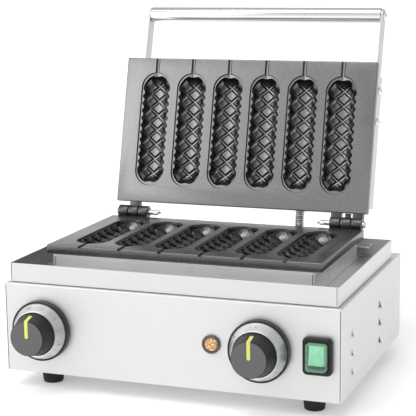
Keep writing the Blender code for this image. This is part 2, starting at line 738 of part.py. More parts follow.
def casting_mesh(name, face, heel_turn, heel_side):
    """Returns a mould plate in a frame on the hinge axis: moulds up, the plate towards -Y, two ears at -X.

    heel_turn lays the stop heel, drawn against the other plate's rear edge, into this plate's frame.
    """
    plate_y = -(HINGE_SETBACK + PLATE_LENGTH / 2)
    size = (PLATE_WIDTH, PLATE_LENGTH, PLATE_THICKNESS)
    blank = cutter(name, block_mesh(name, size, PLATE_EDGE_ROUND), None)
    blank.data.transform(Matrix.Translation((0, plate_y, face - PLATE_THICKNESS / 2)))
    helpers = [blank]

    def join(mesh, operation, location=(0, 0, 0), rotation=(0, 0, 0)):
        helpers.append(cutter(mesh.name, mesh, None, location, rotation))
        combine(blank, helpers[-1], operation)

    pad_size = (PAD_WIDTH, PAD_LENGTH, PAD_DEPTH + CUT_OVERRUN)
    pad_z = face - PLATE_THICKNESS - PAD_DEPTH / 2 + CUT_OVERRUN / 2
    join(block_mesh("pad", pad_size, PAD_EDGE), "UNION", (0, MOULD_Y, pad_z))
    ear = ear_mesh("ear", face)
    for across in (-HINGE_SPREAD - EAR_PITCH, -HINGE_SPREAD + EAR_PITCH, HINGE_SPREAD):
        join(ear, "UNION", (across, 0, 0), SIDE_VIEW)
    heel_length = HINGE_SETBACK - SEAT_GAP - HEEL_ROOT
    heel = block_mesh("heel", (HEEL_WIDTH, heel_length, HEEL_THICKNESS))
    middle = (0, -HEEL_ROOT - heel_length / 2, heel_side * (HEEL_START + HEEL_THICKNESS / 2))
    heel.transform(heel_turn @ Matrix.Translation(middle))
    join(heel, "UNION", (HINGE_SPREAD, 0, 0))
    hole_radius = PIN_RADIUS / math.cos(math.pi / ROUND_SIDES) + RUNNING_GAP
    reach = HINGE_OUTER + CUT_OVERRUN
    join(cylinder_mesh("pin_hole", hole_radius, -reach, reach), "DIFFERENCE", rotation=ALONG_RIGHT)

    recess_outline = stadium(RECESS_WIDTH, RECESS_LENGTH, TROUGH_END_FACETS)
    recess = outline_mesh("recess", [recess_outline], 2 * RECESS_DEPTH)
    slot_end = MOULD_Y - TROUGH_LENGTH / 2 + STICK_SLOT_OVERLAP
    slot_mouth = -(HINGE_SETBACK + PLATE_LENGTH) - CUT_OVERRUN
    slot = cylinder_mesh("stick_slot", STICK_SLOT_WIDTH / 2, slot_mouth, slot_end, SCREW_SIDES)
    slot.transform(Matrix.Rotation(-math.pi / 2, 4, "X"))
    at_face = [Matrix.Translation((across, MOULD_Y, face)) for across in mould_places()]
    at_floor = [Matrix.Translation((across, MOULD_Y, face - RECESS_DEPTH)) for across in mould_places()]
    across_plate = [Matrix.Translation((across, 0, face)) for across in mould_places()]
    join(joined_mesh("recesses", recess, at_face), "DIFFERENCE")
    join(joined_mesh("troughs", trough_mesh(), at_floor), "DIFFERENCE")
    join(joined_mesh("stick_slots", slot, across_plate), "DIFFERENCE")
    bpy.context.view_layer.update()
    mesh = frozen(blank, name)
    for helper in helpers[1:]:
        bpy.data.objects.remove(helper, do_unlink=True)
    return mesh


def add_mould_plates(base, lid):
    """Adds both mould plates. The upper one lies face down in the closed lid, so its frame is rolled over."""
    opening = Matrix.Rotation(-OPEN_ANGLE, 4, "X")
    roll_over = Matrix.Rotation(math.pi, 4, "Y")
    lower = casting_mesh("lower_mould_plate", -AXIS_ABOVE_LOWER, opening, 1)
    place("lower_mould_plate", lower, CASTING, base, (0, AXIS_Y, AXIS_Z))
    upper = casting_mesh("upper_mould_plate", -UPPER_FACE, roll_over @ opening.inverted(), -1)
    place("upper_mould_plate", upper, CASTING, lid, rotation=(0, math.pi, 0))


def heater_path():
    """Returns the hairpin of a heating element, in plan about the middle of the moulds."""
    half_run = ELEMENT_RUN / 2
    half_spread = ELEMENT_SPREAD / 2
    bend = arc((half_run - half_spread, 0), half_spread, -math.pi / 2, math.pi / 2, ELEMENT_BEND_STEPS)
    return [(-half_run - ELEMENT_TAIL, -half_spread)] + bend + [(-half_run - ELEMENT_TAIL, half_spread)]


def add_heater(side, parent, face, flip):
    """Adds the element and its clamp bars behind a plate whose mould face is at the given height."""
    back = PLATE_THICKNESS + PAD_DEPTH + SEAT_GAP
    element_z = face + flip * (back + ELEMENT_RADIUS)
    curve = tube_curve(side + "_heating_element", [(x, y, 0) for x, y in heater_path()], ELEMENT_RADIUS)
    curve.materials.append(ELEMENT_STEEL)
    place(side + "_heating_element", curve, ELEMENT_STEEL, parent, (0, MOULD_Y, element_z))
    bar_z = face + flip * (back + 2 * ELEMENT_RADIUS + SEAT_GAP + CLAMP_THICKNESS / 2)
    bar_size = (CLAMP_WIDTH, ELEMENT_SPREAD + 2 * ELEMENT_RADIUS + 2 * CLAMP_OVERHANG, CLAMP_THICKNESS)
    bar = block_mesh(side + "_element_clamp", bar_size)
    clamp = place(side + "_element_clamp", bar, STEEL, parent, (0, MOULD_Y, bar_z))
    post_length = 2 * ELEMENT_RADIUS + SEAT_GAP + CLAMP_THICKNESS / 2
    post_middle = face + flip * (back + post_length / 2)
    post = cylinder_mesh("clamp_post", CLAMP_POST_RADIUS, -post_length / 2, post_length / 2, SCREW_SIDES)
    combine(clamp, cutter(side + "_clamp_post", post, parent, (0, MOULD_Y, post_middle)), "UNION")


def add_hinge_pins(base):
    """Adds the two pins, heads outwards, and the split ring through each pin's inner end."""
    head = arc((0, 0), PIN_HEAD_RADIUS, math.pi / 2, 0, 4)
    dome = [(radius, PIN_HEAD_LENGTH - PIN_HEAD_RADIUS + height) for radius, height in head]
    length = HINGE_OUTER - HINGE_INNER + PIN_TAIL + SEAT_GAP
    profile = dome + [(PIN_HEAD_RADIUS, 0), (PIN_RADIUS, 0), (PIN_RADIUS, -length), (0, -length)]
    ring_x = HINGE_INNER - PIN_HOLE_FROM_EAR - RING_RADIUS
    ring_bow = RING_RADIUS - math.sqrt(RING_RADIUS**2 - PIN_RADIUS**2)
    ring_profile = [(RING_RADIUS + x, z) for x, z in reversed(circle(RING_WIRE, RING_SIDES))]
    for side, sign, turn in (("left", -1, ALONG_LEFT), ("right", 1, ALONG_RIGHT)):
        mesh = turned_mesh("hinge_pin_" + side, profile)
        seat = (sign * (HINGE_OUTER + SEAT_GAP), AXIS_Y, AXIS_Z)
        pin = place("hinge_pin_" + side, mesh, BRIGHT_STEEL, base, seat, turn)
        hole_x = sign * (HINGE_INNER - PIN_HOLE_FROM_EAR - ring_bow / 2)
        hole_half = PIN_RADIUS + CUT_OVERRUN
        hole = cylinder_mesh("ring_hole_" + side, PIN_HOLE_RADIUS, -hole_half, hole_half, SCREW_SIDES)
        combine(pin, cutter("ring_hole_" + side, hole, base, (hole_x, AXIS_Y, AXIS_Z), ALONG_FRONT))
        ring = turned_mesh("hinge_ring_" + side, ring_profile, closed=True)
        place("hinge_ring_" + side, ring, BRIGHT_STEEL, base, (sign * ring_x, AXIS_Y, AXIS_Z))


def louvre_shapes():
    """Returns the hoods and the slots of the louvres on both sides, in the base's frame."""
    wall = HOUSING_SIDE
    outline = [
        (-HOUSING_SHEET / 2, 0),
        (0, 0),
        (LOUVRE_RISE, -LOUVRE_HEIGHT),
        (LOUVRE_RISE - HOUSING_SHEET, -LOUVRE_HEIGHT),
        (-HOUSING_SHEET / 2, -LOUVRE_ROOT),
    ]
    slot_top = LOUVRE_ROOT + LOUVRE_SLOT_INSET
    slot_length = LOUVRE_LENGTH - 2 * LOUVRE_SLOT_INSET
    slot_size = (HOUSING_SHEET + 2 * CUT_OVERRUN, slot_length, LOUVRE_HEIGHT - slot_top)
    slot_drop = (slot_top + LOUVRE_HEIGHT) / 2
    hoods = []
    slots = []
    for side in (-1, 1):
        for row in range(LOUVRE_ROWS):
            top = HOUSING_TOP - LOUVRE_DROP - row * LOUVRE_ROW_PITCH
            for start in LOUVRE_COLUMNS:
                middle = start + LOUVRE_LENGTH / 2
                turn = Matrix.Rotation(0 if side > 0 else math.pi, 4, "Z")
                upright = turn @ Matrix.Rotation(math.pi / 2, 4, "X")
                hoods.append(Matrix.Translation((side * wall, middle, top)) @ upright)
                slots.append(Matrix.Translation((side * wall, middle, top - slot_drop)))
    hood = outline_mesh("louvre_hood", [outline], LOUVRE_LENGTH)
    slot = block_mesh("louvre_slot", slot_size)
    return joined_mesh("louvre_hoods", hood, hoods), joined_mesh("louvre_slots", slot, slots)


def add_housing(base):
    """Adds the folded housing with its louvres, its deck opening and the holes for what it carries."""
    size = (HOUSING_WIDTH, HOUSING_DEPTH, HOUSING_HEIGHT)
    mesh = pan_mesh("housing_shell", size, [Vector((0, 0, -1))], HOUSING_BEND, 2)
    middle = (0, HOUSING_DEPTH / 2, FOOT_HEIGHT + HOUSING_HEIGHT / 2)
    shell = place("housing_shell", mesh, STEEL, base, middle)
    solidify(shell, HOUSING_SHEET)
    hoods, slots = louvre_shapes()
    combine(shell, cutter("louvre_slots", slots, base))
    combine(shell, cutter("louvre_hoods", hoods, base), "UNION")
    deck_front = TRAY_FRONT_INSET + DECK_LEDGE
    deck_rear = TRAY_REAR - DECK_LEDGE
    deck_size = (HOUSING_WIDTH - 2 * (TRAY_SIDE_INSET + DECK_LEDGE), deck_rear - deck_front, 2 * CUT_OVERRUN)
    deck = block_mesh("deck_opening", deck_size)
    combine(shell, cutter("deck_opening", deck, base, (0, (deck_front + deck_rear) / 2, HOUSING_TOP)))
    depth = HOUSING_SHEET + CUT_OVERRUN
    for name, across, radius in (
        ("thermostat_hole", THERMOSTAT_X, BUSHING_RADIUS),
        ("timer_hole", TIMER_X, BUSHING_RADIUS),
        ("lamp_hole", LAMP_X, LAMP_BARREL_RADIUS),
    ):
        hole = cylinder_mesh(name, radius + SCREW_GAP, -depth, depth)
        combine(shell, cutter(name, hole, base, (across, 0, CONTROL_Z), ALONG_FRONT))
    window_width = switch_body_width() + 2 * SEAT_GAP
    window_height = switch_body_height() + 2 * SEAT_GAP
    window = block_mesh("switch_hole", (window_width, 2 * depth, window_height))
    combine(shell, cutter("switch_hole", window, base, (SWITCH_X, 0, CONTROL_Z)))
    gland = cylinder_mesh("gland_hole", GLAND_BARREL + SCREW_GAP, -depth, depth)
    cord_place = (CORD_GLAND_X, HOUSING_DEPTH, FOOT_HEIGHT + CORD_GLAND_RISE)
    combine(shell, cutter("cord_gland_hole", gland, base, cord_place, ALONG_BACK))
    combine(shell, cutter("deck_gland_hole", gland, base, (CONDUIT_X, conduit_deck_y(), HOUSING_TOP)))
    even_shading(shell)


def foot_places():
    """Returns the feet's names and places in plan."""
    rear = HOUSING_DEPTH - FOOT_INSET
    return [
        ("foot_front_left", (-FOOT_X, FOOT_INSET)),
        ("foot_front_right", (FOOT_X, FOOT_INSET)),
        ("foot_rear_left", (-FOOT_X, rear)),
        ("foot_rear_right", (FOOT_X, rear)),
    ]


def add_base_plate(base):
    """Adds the plate that closes the housing below, its edges turned up inside the shell."""
    margin = 2 * (HOUSING_SHEET + SEAT_GAP)
    size = (HOUSING_WIDTH - margin, HOUSING_DEPTH - margin, BASE_FLANGE)
    mesh = pan_mesh("base_plate", size, [Vector((0, 0, 1))], BASE_SHEET, 1, is_upright)
    plate = place("base_plate", mesh, STEEL, base, (0, HOUSING_DEPTH / 2, FOOT_HEIGHT + BASE_FLANGE / 2))
    solidify(plate, BASE_SHEET)
    hole = cylinder_mesh("foot_hole", SCREW_RADIUS + SCREW_GAP, -CUT_OVERRUN, CUT_OVERRUN, SCREW_SIDES)
    places = [Matrix.Translation((x, y, FOOT_HEIGHT + BASE_SHEET / 2)) for _, (x, y) in foot_places()]
    combine(plate, cutter("foot_holes", joined_mesh("foot_holes", hole, places), base))
    even_shading(plate)


def add_feet(base):
    """Adds the rubber feet and the screws that hold them."""
    top = FOOT_HEIGHT - SEAT_GAP
    bore = SCREW_RADIUS + SCREW_GAP
    profile = [
        (FOOT_TOP_RADIUS, top),
        (FOOT_BOTTOM_RADIUS, FOOT_EDGE),
        (FOOT_BOTTOM_RADIUS - FOOT_EDGE, 0),
        (FOOT_COUNTERBORE, 0),
        (FOOT_COUNTERBORE, FOOT_COUNTERBORE_DEPTH),
        (bore, FOOT_COUNTERBORE_DEPTH),
        (bore, top),
    ]
    foot = turned_mesh("foot", profile, closed=True)
    for name, (x, y) in foot_places():
        place(name, foot, RUBBER, base, (x, y, 0))
    head_top = FOOT_COUNTERBORE_DEPTH - SEAT_GAP
    screw_profile = [
        (0, FOOT_HEIGHT + BASE_SHEET + FOOT_SCREW_TAIL),
        (SCREW_RADIUS, FOOT_HEIGHT + BASE_SHEET + FOOT_SCREW_TAIL),
        (SCREW_RADIUS, head_top),
        (FOOT_SCREW_HEAD, head_top),
        (FOOT_SCREW_HEAD, head_top - FOOT_SCREW_HEAD_HEIGHT),
        (0, head_top - FOOT_SCREW_HEAD_HEIGHT),
    ]
    screw = turned_mesh("foot_screw", screw_profile, SCREW_SIDES)
    for name, (x, y) in foot_places():
        place(name.replace("foot", "foot_screw"), screw, BRIGHT_STEEL, base, (x, y, 0))


def add_tray(base):
    """Adds the raised drip tray and the bracket in its rear corner."""
    width = HOUSING_WIDTH - 2 * TRAY_SIDE_INSET
    depth = TRAY_REAR - TRAY_FRONT_INSET
    size = (width, depth, TRAY_HEIGHT)
    mesh = pan_mesh("drip_tray", size, [Vector((0, 0, 1))], TRAY_CORNER, 3, is_upright)
    middle_y = TRAY_FRONT_INSET + depth / 2
    tray = place("drip_tray", mesh, TRAY_STEEL, base, (0, middle_y, TRAY_FLOOR + TRAY_HEIGHT / 2))
    solidify(tray, TRAY_SHEET)
    opening = block_mesh("wire_opening", (TRAY_WIRE_WIDTH, TRAY_WIRE_DEPTH, 2 * CUT_OVERRUN + TRAY_SHEET))
    combine(tray, cutter("wire_opening", opening, base, (0, AXIS_Y + MOULD_Y, TRAY_FLOOR + TRAY_SHEET / 2)))
    even_shading(tray)
    wall = TRAY_REAR - TRAY_SHEET - SEAT_GAP
    top = HOUSING_TOP + BRACKET_RISE
    outline = [
        (-BRACKET_REACH, 0),
        (0, 0),
        (0, -BRACKET_DROP),
        (-BRACKET_SHEET, -BRACKET_DROP),
        (-BRACKET_SHEET, -BRACKET_SHEET),
        (-BRACKET_REACH, -BRACKET_SHEET),
    ]
    bracket = outline_mesh("tray_bracket", [outline], BRACKET_WIDTH)
    place("tray_bracket", bracket, TRAY_STEEL, base, (BRACKET_X, wall, top), SIDE_VIEW)


def add_chamber(base):
    """Adds the box that carries the lower plate above the tray."""
    front = PLATE_FRONT + CHAMBER_FRONT_INSET
    rear = PLATE_REAR - CHAMBER_REAR_INSET
    low = TRAY_FLOOR + TRAY_SHEET + SEAT_GAP
    high = LOWER_FACE - PLATE_THICKNESS - SEAT_GAP
    sides = [Vector((0, 0, 1)), Vector((0, 0, -1))]
    mesh = pan_mesh("chamber_box", (CHAMBER_WIDTH, rear - front, high - low), sides)
    chamber = place("chamber_box", mesh, TRAY_STEEL, base, (0, (front + rear) / 2, (low + high) / 2))
    solidify(chamber, CHAMBER_SHEET)


def add_lid_cover(lid):
    """Adds the pan behind the upper plate, with slots for the arms and holes for screws and gland."""
    back = UPPER_FACE + PLATE_THICKNESS + SEAT_GAP
    near = -(HINGE_SETBACK + COVER_HINGE_MARGIN)
    far = -(HINGE_SETBACK + PLATE_LENGTH - COVER_FRONT_MARGIN)
    size = (COVER_WIDTH, near - far, COVER_DEPTH)
    mesh = pan_mesh("lid_cover", size, [Vector((0, 0, -1))], COVER_BEND, 3, is_level_top)
    cover = place("lid_cover", mesh, COVER_STEEL, lid, (0, (near + far) / 2, back + COVER_DEPTH / 2))
    solidify(cover, COVER_SHEET)
    slot_width = ARM_THICKNESS + 2 * SEAT_GAP
    slot_size = (slot_width, 2 * (COVER_SHEET + CUT_OVERRUN), ARM_WIDTH + 2 * ARM_SLOT_GAP)
    slot = block_mesh("arm_slot", slot_size)
    slot_z = HANDLE_Z - (far - HANDLE_Y) * math.tan(ARM_TILT)
    slots = [Matrix.Translation((side * ARM_X, far, slot_z)) for side in (-1, 1)]
    combine(cover, cutter("arm_slots", joined_mesh("arm_slots", slot, slots), lid))
    reach = COVER_WIDTH / 2 + CUT_OVERRUN
    hole = cylinder_mesh("screw_hole", SCREW_RADIUS + SCREW_GAP, -reach, reach, SCREW_SIDES)
    across = Matrix.Rotation(math.pi / 2, 4, "Y")
    holes = [Matrix.Translation((0, y, z)) @ across for y, z in arm_screw_places()]
    combine(cover, cutter("screw_holes", joined_mesh("screw_holes", hole, holes), lid))
    depth = COVER_SHEET + CUT_OVERRUN
    gland = cylinder_mesh("lid_gland_hole", GLAND_BARREL + SCREW_GAP, -depth, depth)
    gland_place = (CONDUIT_X, near, UPPER_FACE + CONDUIT_LID_HEIGHT)
    combine(cover, cutter("lid_gland_hole", gland, lid, gland_place, ALONG_BACK))
    even_shading(cover)


def arm_screw_places():
    """Returns where the screws cross each arm, as (y, z) in the lid's frame."""
    return [
        (HANDLE_Y + reach * math.cos(ARM_TILT), HANDLE_Z - reach * math.sin(ARM_TILT))
        for reach in ARM_SCREW_REACHES
    ]


def dome_screw_mesh(name, head, rise, length):
    """Returns a screw along Z with a domed head above zero height and its shank below."""
    radius = (head**2 + rise**2) / (2 * rise)
    edge = math.asin(head / radius)
    dome = [(radius * math.sin(a), rise - radius * (1 - math.cos(a))) for a in (0, edge / 2, edge)]
    return turned_mesh(name, dome + [(SCREW_RADIUS, 0), (SCREW_RADIUS, -length), (0, -length)], SCREW_SIDES)


def add_handle(lid):
    """Adds the arms, the tube between their ends, and the screws that hold them."""
    half_width = ARM_WIDTH / 2
    end = ARM_LENGTH
    outline = arc((0, 0), half_width, math.pi / 2, 3 * math.pi / 2, ARM_END_STEPS)
    outline += arc((end, 0), half_width, -math.pi / 2, math.pi / 2, ARM_END_STEPS)
    bore = SCREW_RADIUS + SCREW_GAP
    holes = [circle(bore, SCREW_SIDES, (reach, 0)) for reach in (0, *ARM_SCREW_REACHES)]
    arm = outline_mesh("handle_arm", [outline] + holes, ARM_THICKNESS)
    turn = Matrix.Rotation(-ARM_TILT, 4, "X") @ Euler(SIDE_VIEW).to_matrix().to_4x4()
    for side, sign in (("left", -1), ("right", 1)):
        arm_place = (sign * ARM_X, HANDLE_Y, HANDLE_Z)
        place("handle_arm_" + side, arm, STEEL, lid, arm_place, turn.to_euler())
    half = HANDLE_HALF_LENGTH
    inner = HANDLE_RADIUS - HANDLE_WALL
    profile = [
        (HANDLE_RADIUS, half),
        (HANDLE_RADIUS, -half),
        (bore, -half),
        (bore, HANDLE_PLUG - half),
        (inner, HANDLE_PLUG - half),
        (inner, half - HANDLE_PLUG),
        (bore, half - HANDLE_PLUG),
        (bore, half),
    ]
    tube = turned_mesh("handle_tube", profile, KNOB_SIDES, closed=True)
    place("handle_tube", tube, BRIGHT_STEEL, lid, (0, HANDLE_Y, HANDLE_Z), ALONG_RIGHT)
    end_screw = dome_screw_mesh("handle_screw", END_SCREW_HEAD, END_SCREW_RISE, END_SCREW_LENGTH)
    end_seat = ARM_X + ARM_THICKNESS / 2 + SEAT_GAP
    arm_screw = dome_screw_mesh("arm_screw", ARM_SCREW_HEAD, ARM_SCREW_RISE, ARM_SCREW_LENGTH)
    arm_seat = COVER_WIDTH / 2 + SEAT_GAP
    for side, sign, turned in (("left", -1, ALONG_LEFT), ("right", 1, ALONG_RIGHT)):
        end_place = (sign * end_seat, HANDLE_Y, HANDLE_Z)
        place("handle_screw_" + side, end_screw, BRIGHT_STEEL, lid, end_place, turned)
        for level, (y, z) in zip(("upper", "lower"), arm_screw_places()):
            arm_place = (sign * arm_seat, y, z)
            place("arm_screw_" + side + "_" + level, arm_screw, BRIGHT_STEEL, lid, arm_place, turned)


def pointer_outline(grow, cut):
    """Returns the pointer from the side, as (height, radius): along the face, then down the knob's flank."""
    flank = Vector((DIAL_RISE - KNOB_RISE, KNOB_RADIUS - KNOB_FACE_RADIUS))
    inward = Vector((-flank.y, flank.x)).normalized()
    proud = POINTER_PROUD + cut
    corner = Vector((KNOB_RISE, KNOB_FACE_RADIUS))
    end = corner + flank * POINTER_SIDE_SHARE + flank.normalized() * grow
    sunk_face = KNOB_RISE - POINTER_DEPTH - grow
    along = (sunk_face - (corner + inward * (POINTER_DEPTH + grow)).x) / flank.x
    sunk_corner = corner + inward * (POINTER_DEPTH + grow) + flank * along
    outer_corner = corner + Vector((proud, 0)) - inward * proud
    return [
        (KNOB_RISE + proud, -grow),
        tuple(outer_corner),
        tuple(end - inward * proud),
        tuple(end + inward * (POINTER_DEPTH + grow)),
        tuple(sunk_corner),
        (sunk_face, -grow),
    ]


def add_control(name, across, base):
    """Adds one control: a body behind the panel, the fixed bezel and dial, and the knob that turns."""
    body_depth = CONTROL_BODY_DEPTH
    bushing_bore = SHAFT_RADIUS / math.cos(math.pi / ROUND_SIDES) + RUNNING_GAP
    back = HOUSING_SHEET + SEAT_GAP
    size = (CONTROL_BODY_WIDTH, CONTROL_BODY_HEIGHT, body_depth)
    seat = (across, 0, CONTROL_Z)
    body_mesh = block_mesh(name + "_body", size, HOUSING_BEND)
    body_mesh.transform(Matrix.Translation((0, 0, -back - body_depth / 2)))
    body = place(name + "_body", body_mesh, BLACK_PLASTIC, base, seat, ALONG_FRONT)
    bushing = cylinder_mesh(name + "_bushing", BUSHING_RADIUS, -back - CUT_OVERRUN, BUSHING_RISE)
    combine(body, cutter(name + "_bushing", bushing, base, seat, ALONG_FRONT), "UNION")
    bore_end = BUSHING_RISE + CUT_OVERRUN
    shaft_bore = cylinder_mesh(name + "_bore", bushing_bore, -SHAFT_TAIL - SEAT_GAP, bore_end)
    combine(body, cutter(name + "_bore", shaft_bore, base, seat, ALONG_FRONT))
    ring = BEZEL_RADIUS - BEZEL_RING_WIDTH
    bezel_profile = [
        (BEZEL_RADIUS - BEZEL_EDGE, BEZEL_RISE),
        (BEZEL_RADIUS, BEZEL_RISE - BEZEL_EDGE),
        (BEZEL_RADIUS, SEAT_GAP),
        (BEZEL_HOLE, SEAT_GAP),
        (BEZEL_HOLE, BEZEL_FLOOR),
        (ring, BEZEL_FLOOR),
        (ring, BEZEL_RISE),
    ]
    bezel = turned_mesh(name + "_bezel", bezel_profile, KNOB_SIDES, closed=True)
    place(name + "_bezel", bezel, BLACK_PLASTIC, base, seat, ALONG_FRONT)
    dial_profile = [
        (DIAL_TOP_RADIUS, DIAL_RISE),
        (DIAL_RADIUS, DIAL_SKIRT),
        (DIAL_RADIUS, BEZEL_FLOOR + SEAT_GAP),
        (DIAL_BORE, BEZEL_FLOOR + SEAT_GAP),
        (DIAL_BORE, DIAL_RISE),
    ]
    dial = turned_mesh(name + "_dial", dial_profile, KNOB_SIDES, closed=True)
    place(name + "_dial", dial, DIAL_METAL, base, seat, ALONG_FRONT)
    axis = frame(name + "_axis", base, seat)
    shaft_hole = SHAFT_RADIUS + SEAT_GAP
    knob_profile = [
        (0, KNOB_RISE),
        (KNOB_FACE_RADIUS - KNOB_EDGE, KNOB_RISE),
        (KNOB_FACE_RADIUS, KNOB_RISE - KNOB_EDGE),
        (KNOB_RADIUS, DIAL_RISE),
        (KNOB_RADIUS, KNOB_BACK),
        (shaft_hole, KNOB_BACK),
        (shaft_hole, SHAFT_SEAT),
        (0, SHAFT_SEAT),
    ]
    knob_mesh = turned_mesh(name + "_knob", knob_profile, KNOB_SIDES)
    knob = place(name + "_knob", knob_mesh, KNOB_PLASTIC, axis, rotation=ALONG_FRONT)
    groove_outline = pointer_outline(SEAT_GAP, CUT_OVERRUN)
    groove = outline_mesh(name + "_groove", [groove_outline], POINTER_WIDTH + 2 * SEAT_GAP)
    combine(knob, cutter(name + "_groove", groove, axis, rotation=FRONT_PROFILE))
    pointer = outline_mesh(name + "_pointer", [pointer_outline(0, 0)], POINTER_WIDTH)
    place(name + "_pointer", pointer, POINTER_YELLOW, axis, rotation=FRONT_PROFILE)
    shaft = cylinder_mesh(name + "_shaft", SHAFT_RADIUS, -SHAFT_TAIL, SHAFT_SEAT - SEAT_GAP)
    place(name + "_shaft", shaft, BRIGHT_STEEL, axis, rotation=ALONG_FRONT)


def add_lamp(base):
    """Adds the lamp's holder, through the panel, and its faceted lens."""
    seat = (LAMP_X, 0, CONTROL_Z)
    holder_profile = [
        (LAMP_FLANGE_RADIUS - LAMP_FLANGE_EDGE, LAMP_FLANGE_RISE),
        (LAMP_FLANGE_RADIUS, LAMP_FLANGE_RISE - LAMP_FLANGE_EDGE),
        (LAMP_FLANGE_RADIUS, SEAT_GAP),
        (LAMP_BARREL_RADIUS, SEAT_GAP),
        (LAMP_BARREL_RADIUS, -LAMP_DEPTH),
        (0, -LAMP_DEPTH),
        (0, -LAMP_BORE_DEPTH),
        (LAMP_BORE, -LAMP_BORE_DEPTH),
        (LAMP_BORE, LAMP_FLANGE_RISE),
    ]
    holder = turned_mesh("lamp_holder", holder_profile, closed=True)
    place("lamp_holder", holder, BRIGHT_STEEL, base, seat, ALONG_FRONT)
    radius = LAMP_BORE - SEAT_GAP
    lens_profile = [
        (0, LENS_RISE),
        (LENS_FACE_RADIUS, LENS_RISE),
        (radius, LAMP_FLANGE_RISE - LAMP_FLANGE_EDGE),
        (radius, SEAT_GAP - LAMP_BORE_DEPTH),
        (0, SEAT_GAP - LAMP_BORE_DEPTH),
    ]
    lens = turned_mesh("lamp_lens", lens_profile, LENS_SIDES)
    place("lamp_lens", lens, LAMP_AMBER, base, seat, ALONG_FRONT)


def switch_body_width():
    """Returns the width of the switch body behind the panel."""
    return WINDOW_WIDTH + 2 * SWITCH_COLLAR_WALL


def switch_body_height():
    """Returns the height of the switch body behind the panel."""
    return WINDOW_HEIGHT + 2 * SWITCH_COLLAR_WALL


def add_switch(base):
    """Adds the switch: its frame, splash cover and body, and the rocker that tilts in the body."""
    seat = (SWITCH_X, 0, CONTROL_Z)
    outer = rounded_rectangle(SWITCH_WIDTH, SWITCH_HEIGHT, SWITCH_CORNER)
    window = rounded_rectangle(WINDOW_WIDTH, WINDOW_HEIGHT, WINDOW_CORNER)
    thickness = SWITCH_RISE - SEAT_GAP
    surround = outline_mesh("switch_frame", [outer, window], thickness)
    surround.transform(Matrix.Translation((0, 0, SEAT_GAP + thickness / 2)))
    rim = place("switch_frame", surround, BLACK_PLASTIC, base, seat, ALONG_FRONT)
    bevel = rim.modifiers.new("edge", "BEVEL")
    bevel.width = SWITCH_EDGE
    bevel.segments = 1
    bevel.limit_method = "ANGLE"
    bevel.angle_limit = SHARP_ANGLE
    width = WINDOW_WIDTH - 2 * SEAT_GAP
    height = WINDOW_HEIGHT - 2 * SEAT_GAP
    hood_size = (width, height, SPLASH_RISE - SEAT_GAP)
    hood_mesh = pan_mesh("splash_cover", hood_size, [Vector((0, 0, -1))], WINDOW_CORNER, 2)
    hood_mesh.transform(Matrix.Translation((0, 0, (SPLASH_RISE + SEAT_GAP) / 2)))
    hood = place("splash_cover", hood_mesh, SPLASH_GREEN, base, seat, ALONG_FRONT)
    solidify(hood, SPLASH_WALL)
    body_size = (switch_body_width(), switch_body_height(), SWITCH_BODY_DEPTH)
    body_mesh = block_mesh("switch_body", body_size)
    body_mesh.transform(Matrix.Translation((0, 0, -SWITCH_BODY_DEPTH / 2)))
    body = place("switch_body", body_mesh, BLACK_PLASTIC, base, seat, ALONG_FRONT)
    collar_size = (SWITCH_COLLAR_WIDTH, SWITCH_COLLAR_HEIGHT, SWITCH_COLLAR_RISE + CUT_OVERRUN)
    collar = block_mesh("switch_collar", collar_size)
    collar.transform(Matrix.Translation((0, 0, (SWITCH_COLLAR_RISE - CUT_OVERRUN) / 2)))
    combine(body, cutter("switch_collar", collar, base, seat, ALONG_FRONT), "UNION")
    well_depth = ROCKER_PIVOT_DEPTH + ROCKER_BACK + 2 * CUT_OVERRUN
    well_rise = SWITCH_COLLAR_RISE + CUT_OVERRUN
    well_width = SWITCH_COLLAR_WIDTH - 2 * SWITCH_COLLAR_WALL
    well_height = SWITCH_COLLAR_HEIGHT - 2 * SWITCH_COLLAR_WALL
    well = block_mesh("switch_well", (well_width, well_height, well_depth + well_rise))
    well.transform(Matrix.Translation((0, 0, (well_rise - well_depth) / 2)))
    combine(body, cutter("switch_well", well, base, seat, ALONG_FRONT))
    pivot_place = (SWITCH_X, ROCKER_PIVOT_DEPTH, CONTROL_Z)
    reach = ROCKER_WIDTH / 2 + PIVOT_LENGTH
    socket_radius = PIVOT_RADIUS / math.cos(math.pi / SCREW_SIDES) + RUNNING_GAP
    socket = cylinder_mesh("pivot_socket", socket_radius, -reach - SEAT_GAP, reach + SEAT_GAP, SCREW_SIDES)
    combine(body, cutter("pivot_socket", socket, base, pivot_place, ALONG_RIGHT))
    axis = frame("rocker_axis", base, pivot_place, (-ROCKER_TILT, 0, 0))
    half = ROCKER_HEIGHT / 2
    back_half = ROCKER_BACK_HEIGHT / 2
    ridge = -ROCKER_PIVOT_DEPTH - ROCKER_RIDGE
    tip = -ROCKER_PIVOT_DEPTH - ROCKER_TIP
    outline = [
        (ridge, 0),
        (tip, half),
        (0, half),
        (ROCKER_BACK, back_half),
        (ROCKER_BACK, -back_half),
        (0, -half),
        (tip, -half),
    ]
    rocker_mesh = outline_mesh("switch_rocker", [outline], ROCKER_WIDTH)
    rocker = place("switch_rocker", rocker_mesh, ROCKER_GREEN, axis, rotation=SIDE_VIEW)
    pivot = cylinder_mesh("rocker_pivot", PIVOT_RADIUS, -reach, reach, SCREW_SIDES)
    combine(rocker, cutter("rocker_pivot", pivot, axis, rotation=ALONG_RIGHT), "UNION")


def conduit_deck_y():
    """Returns how far back the conduit goes through the rear deck."""
    return TRAY_REAR + CONDUIT_DECK_GAP


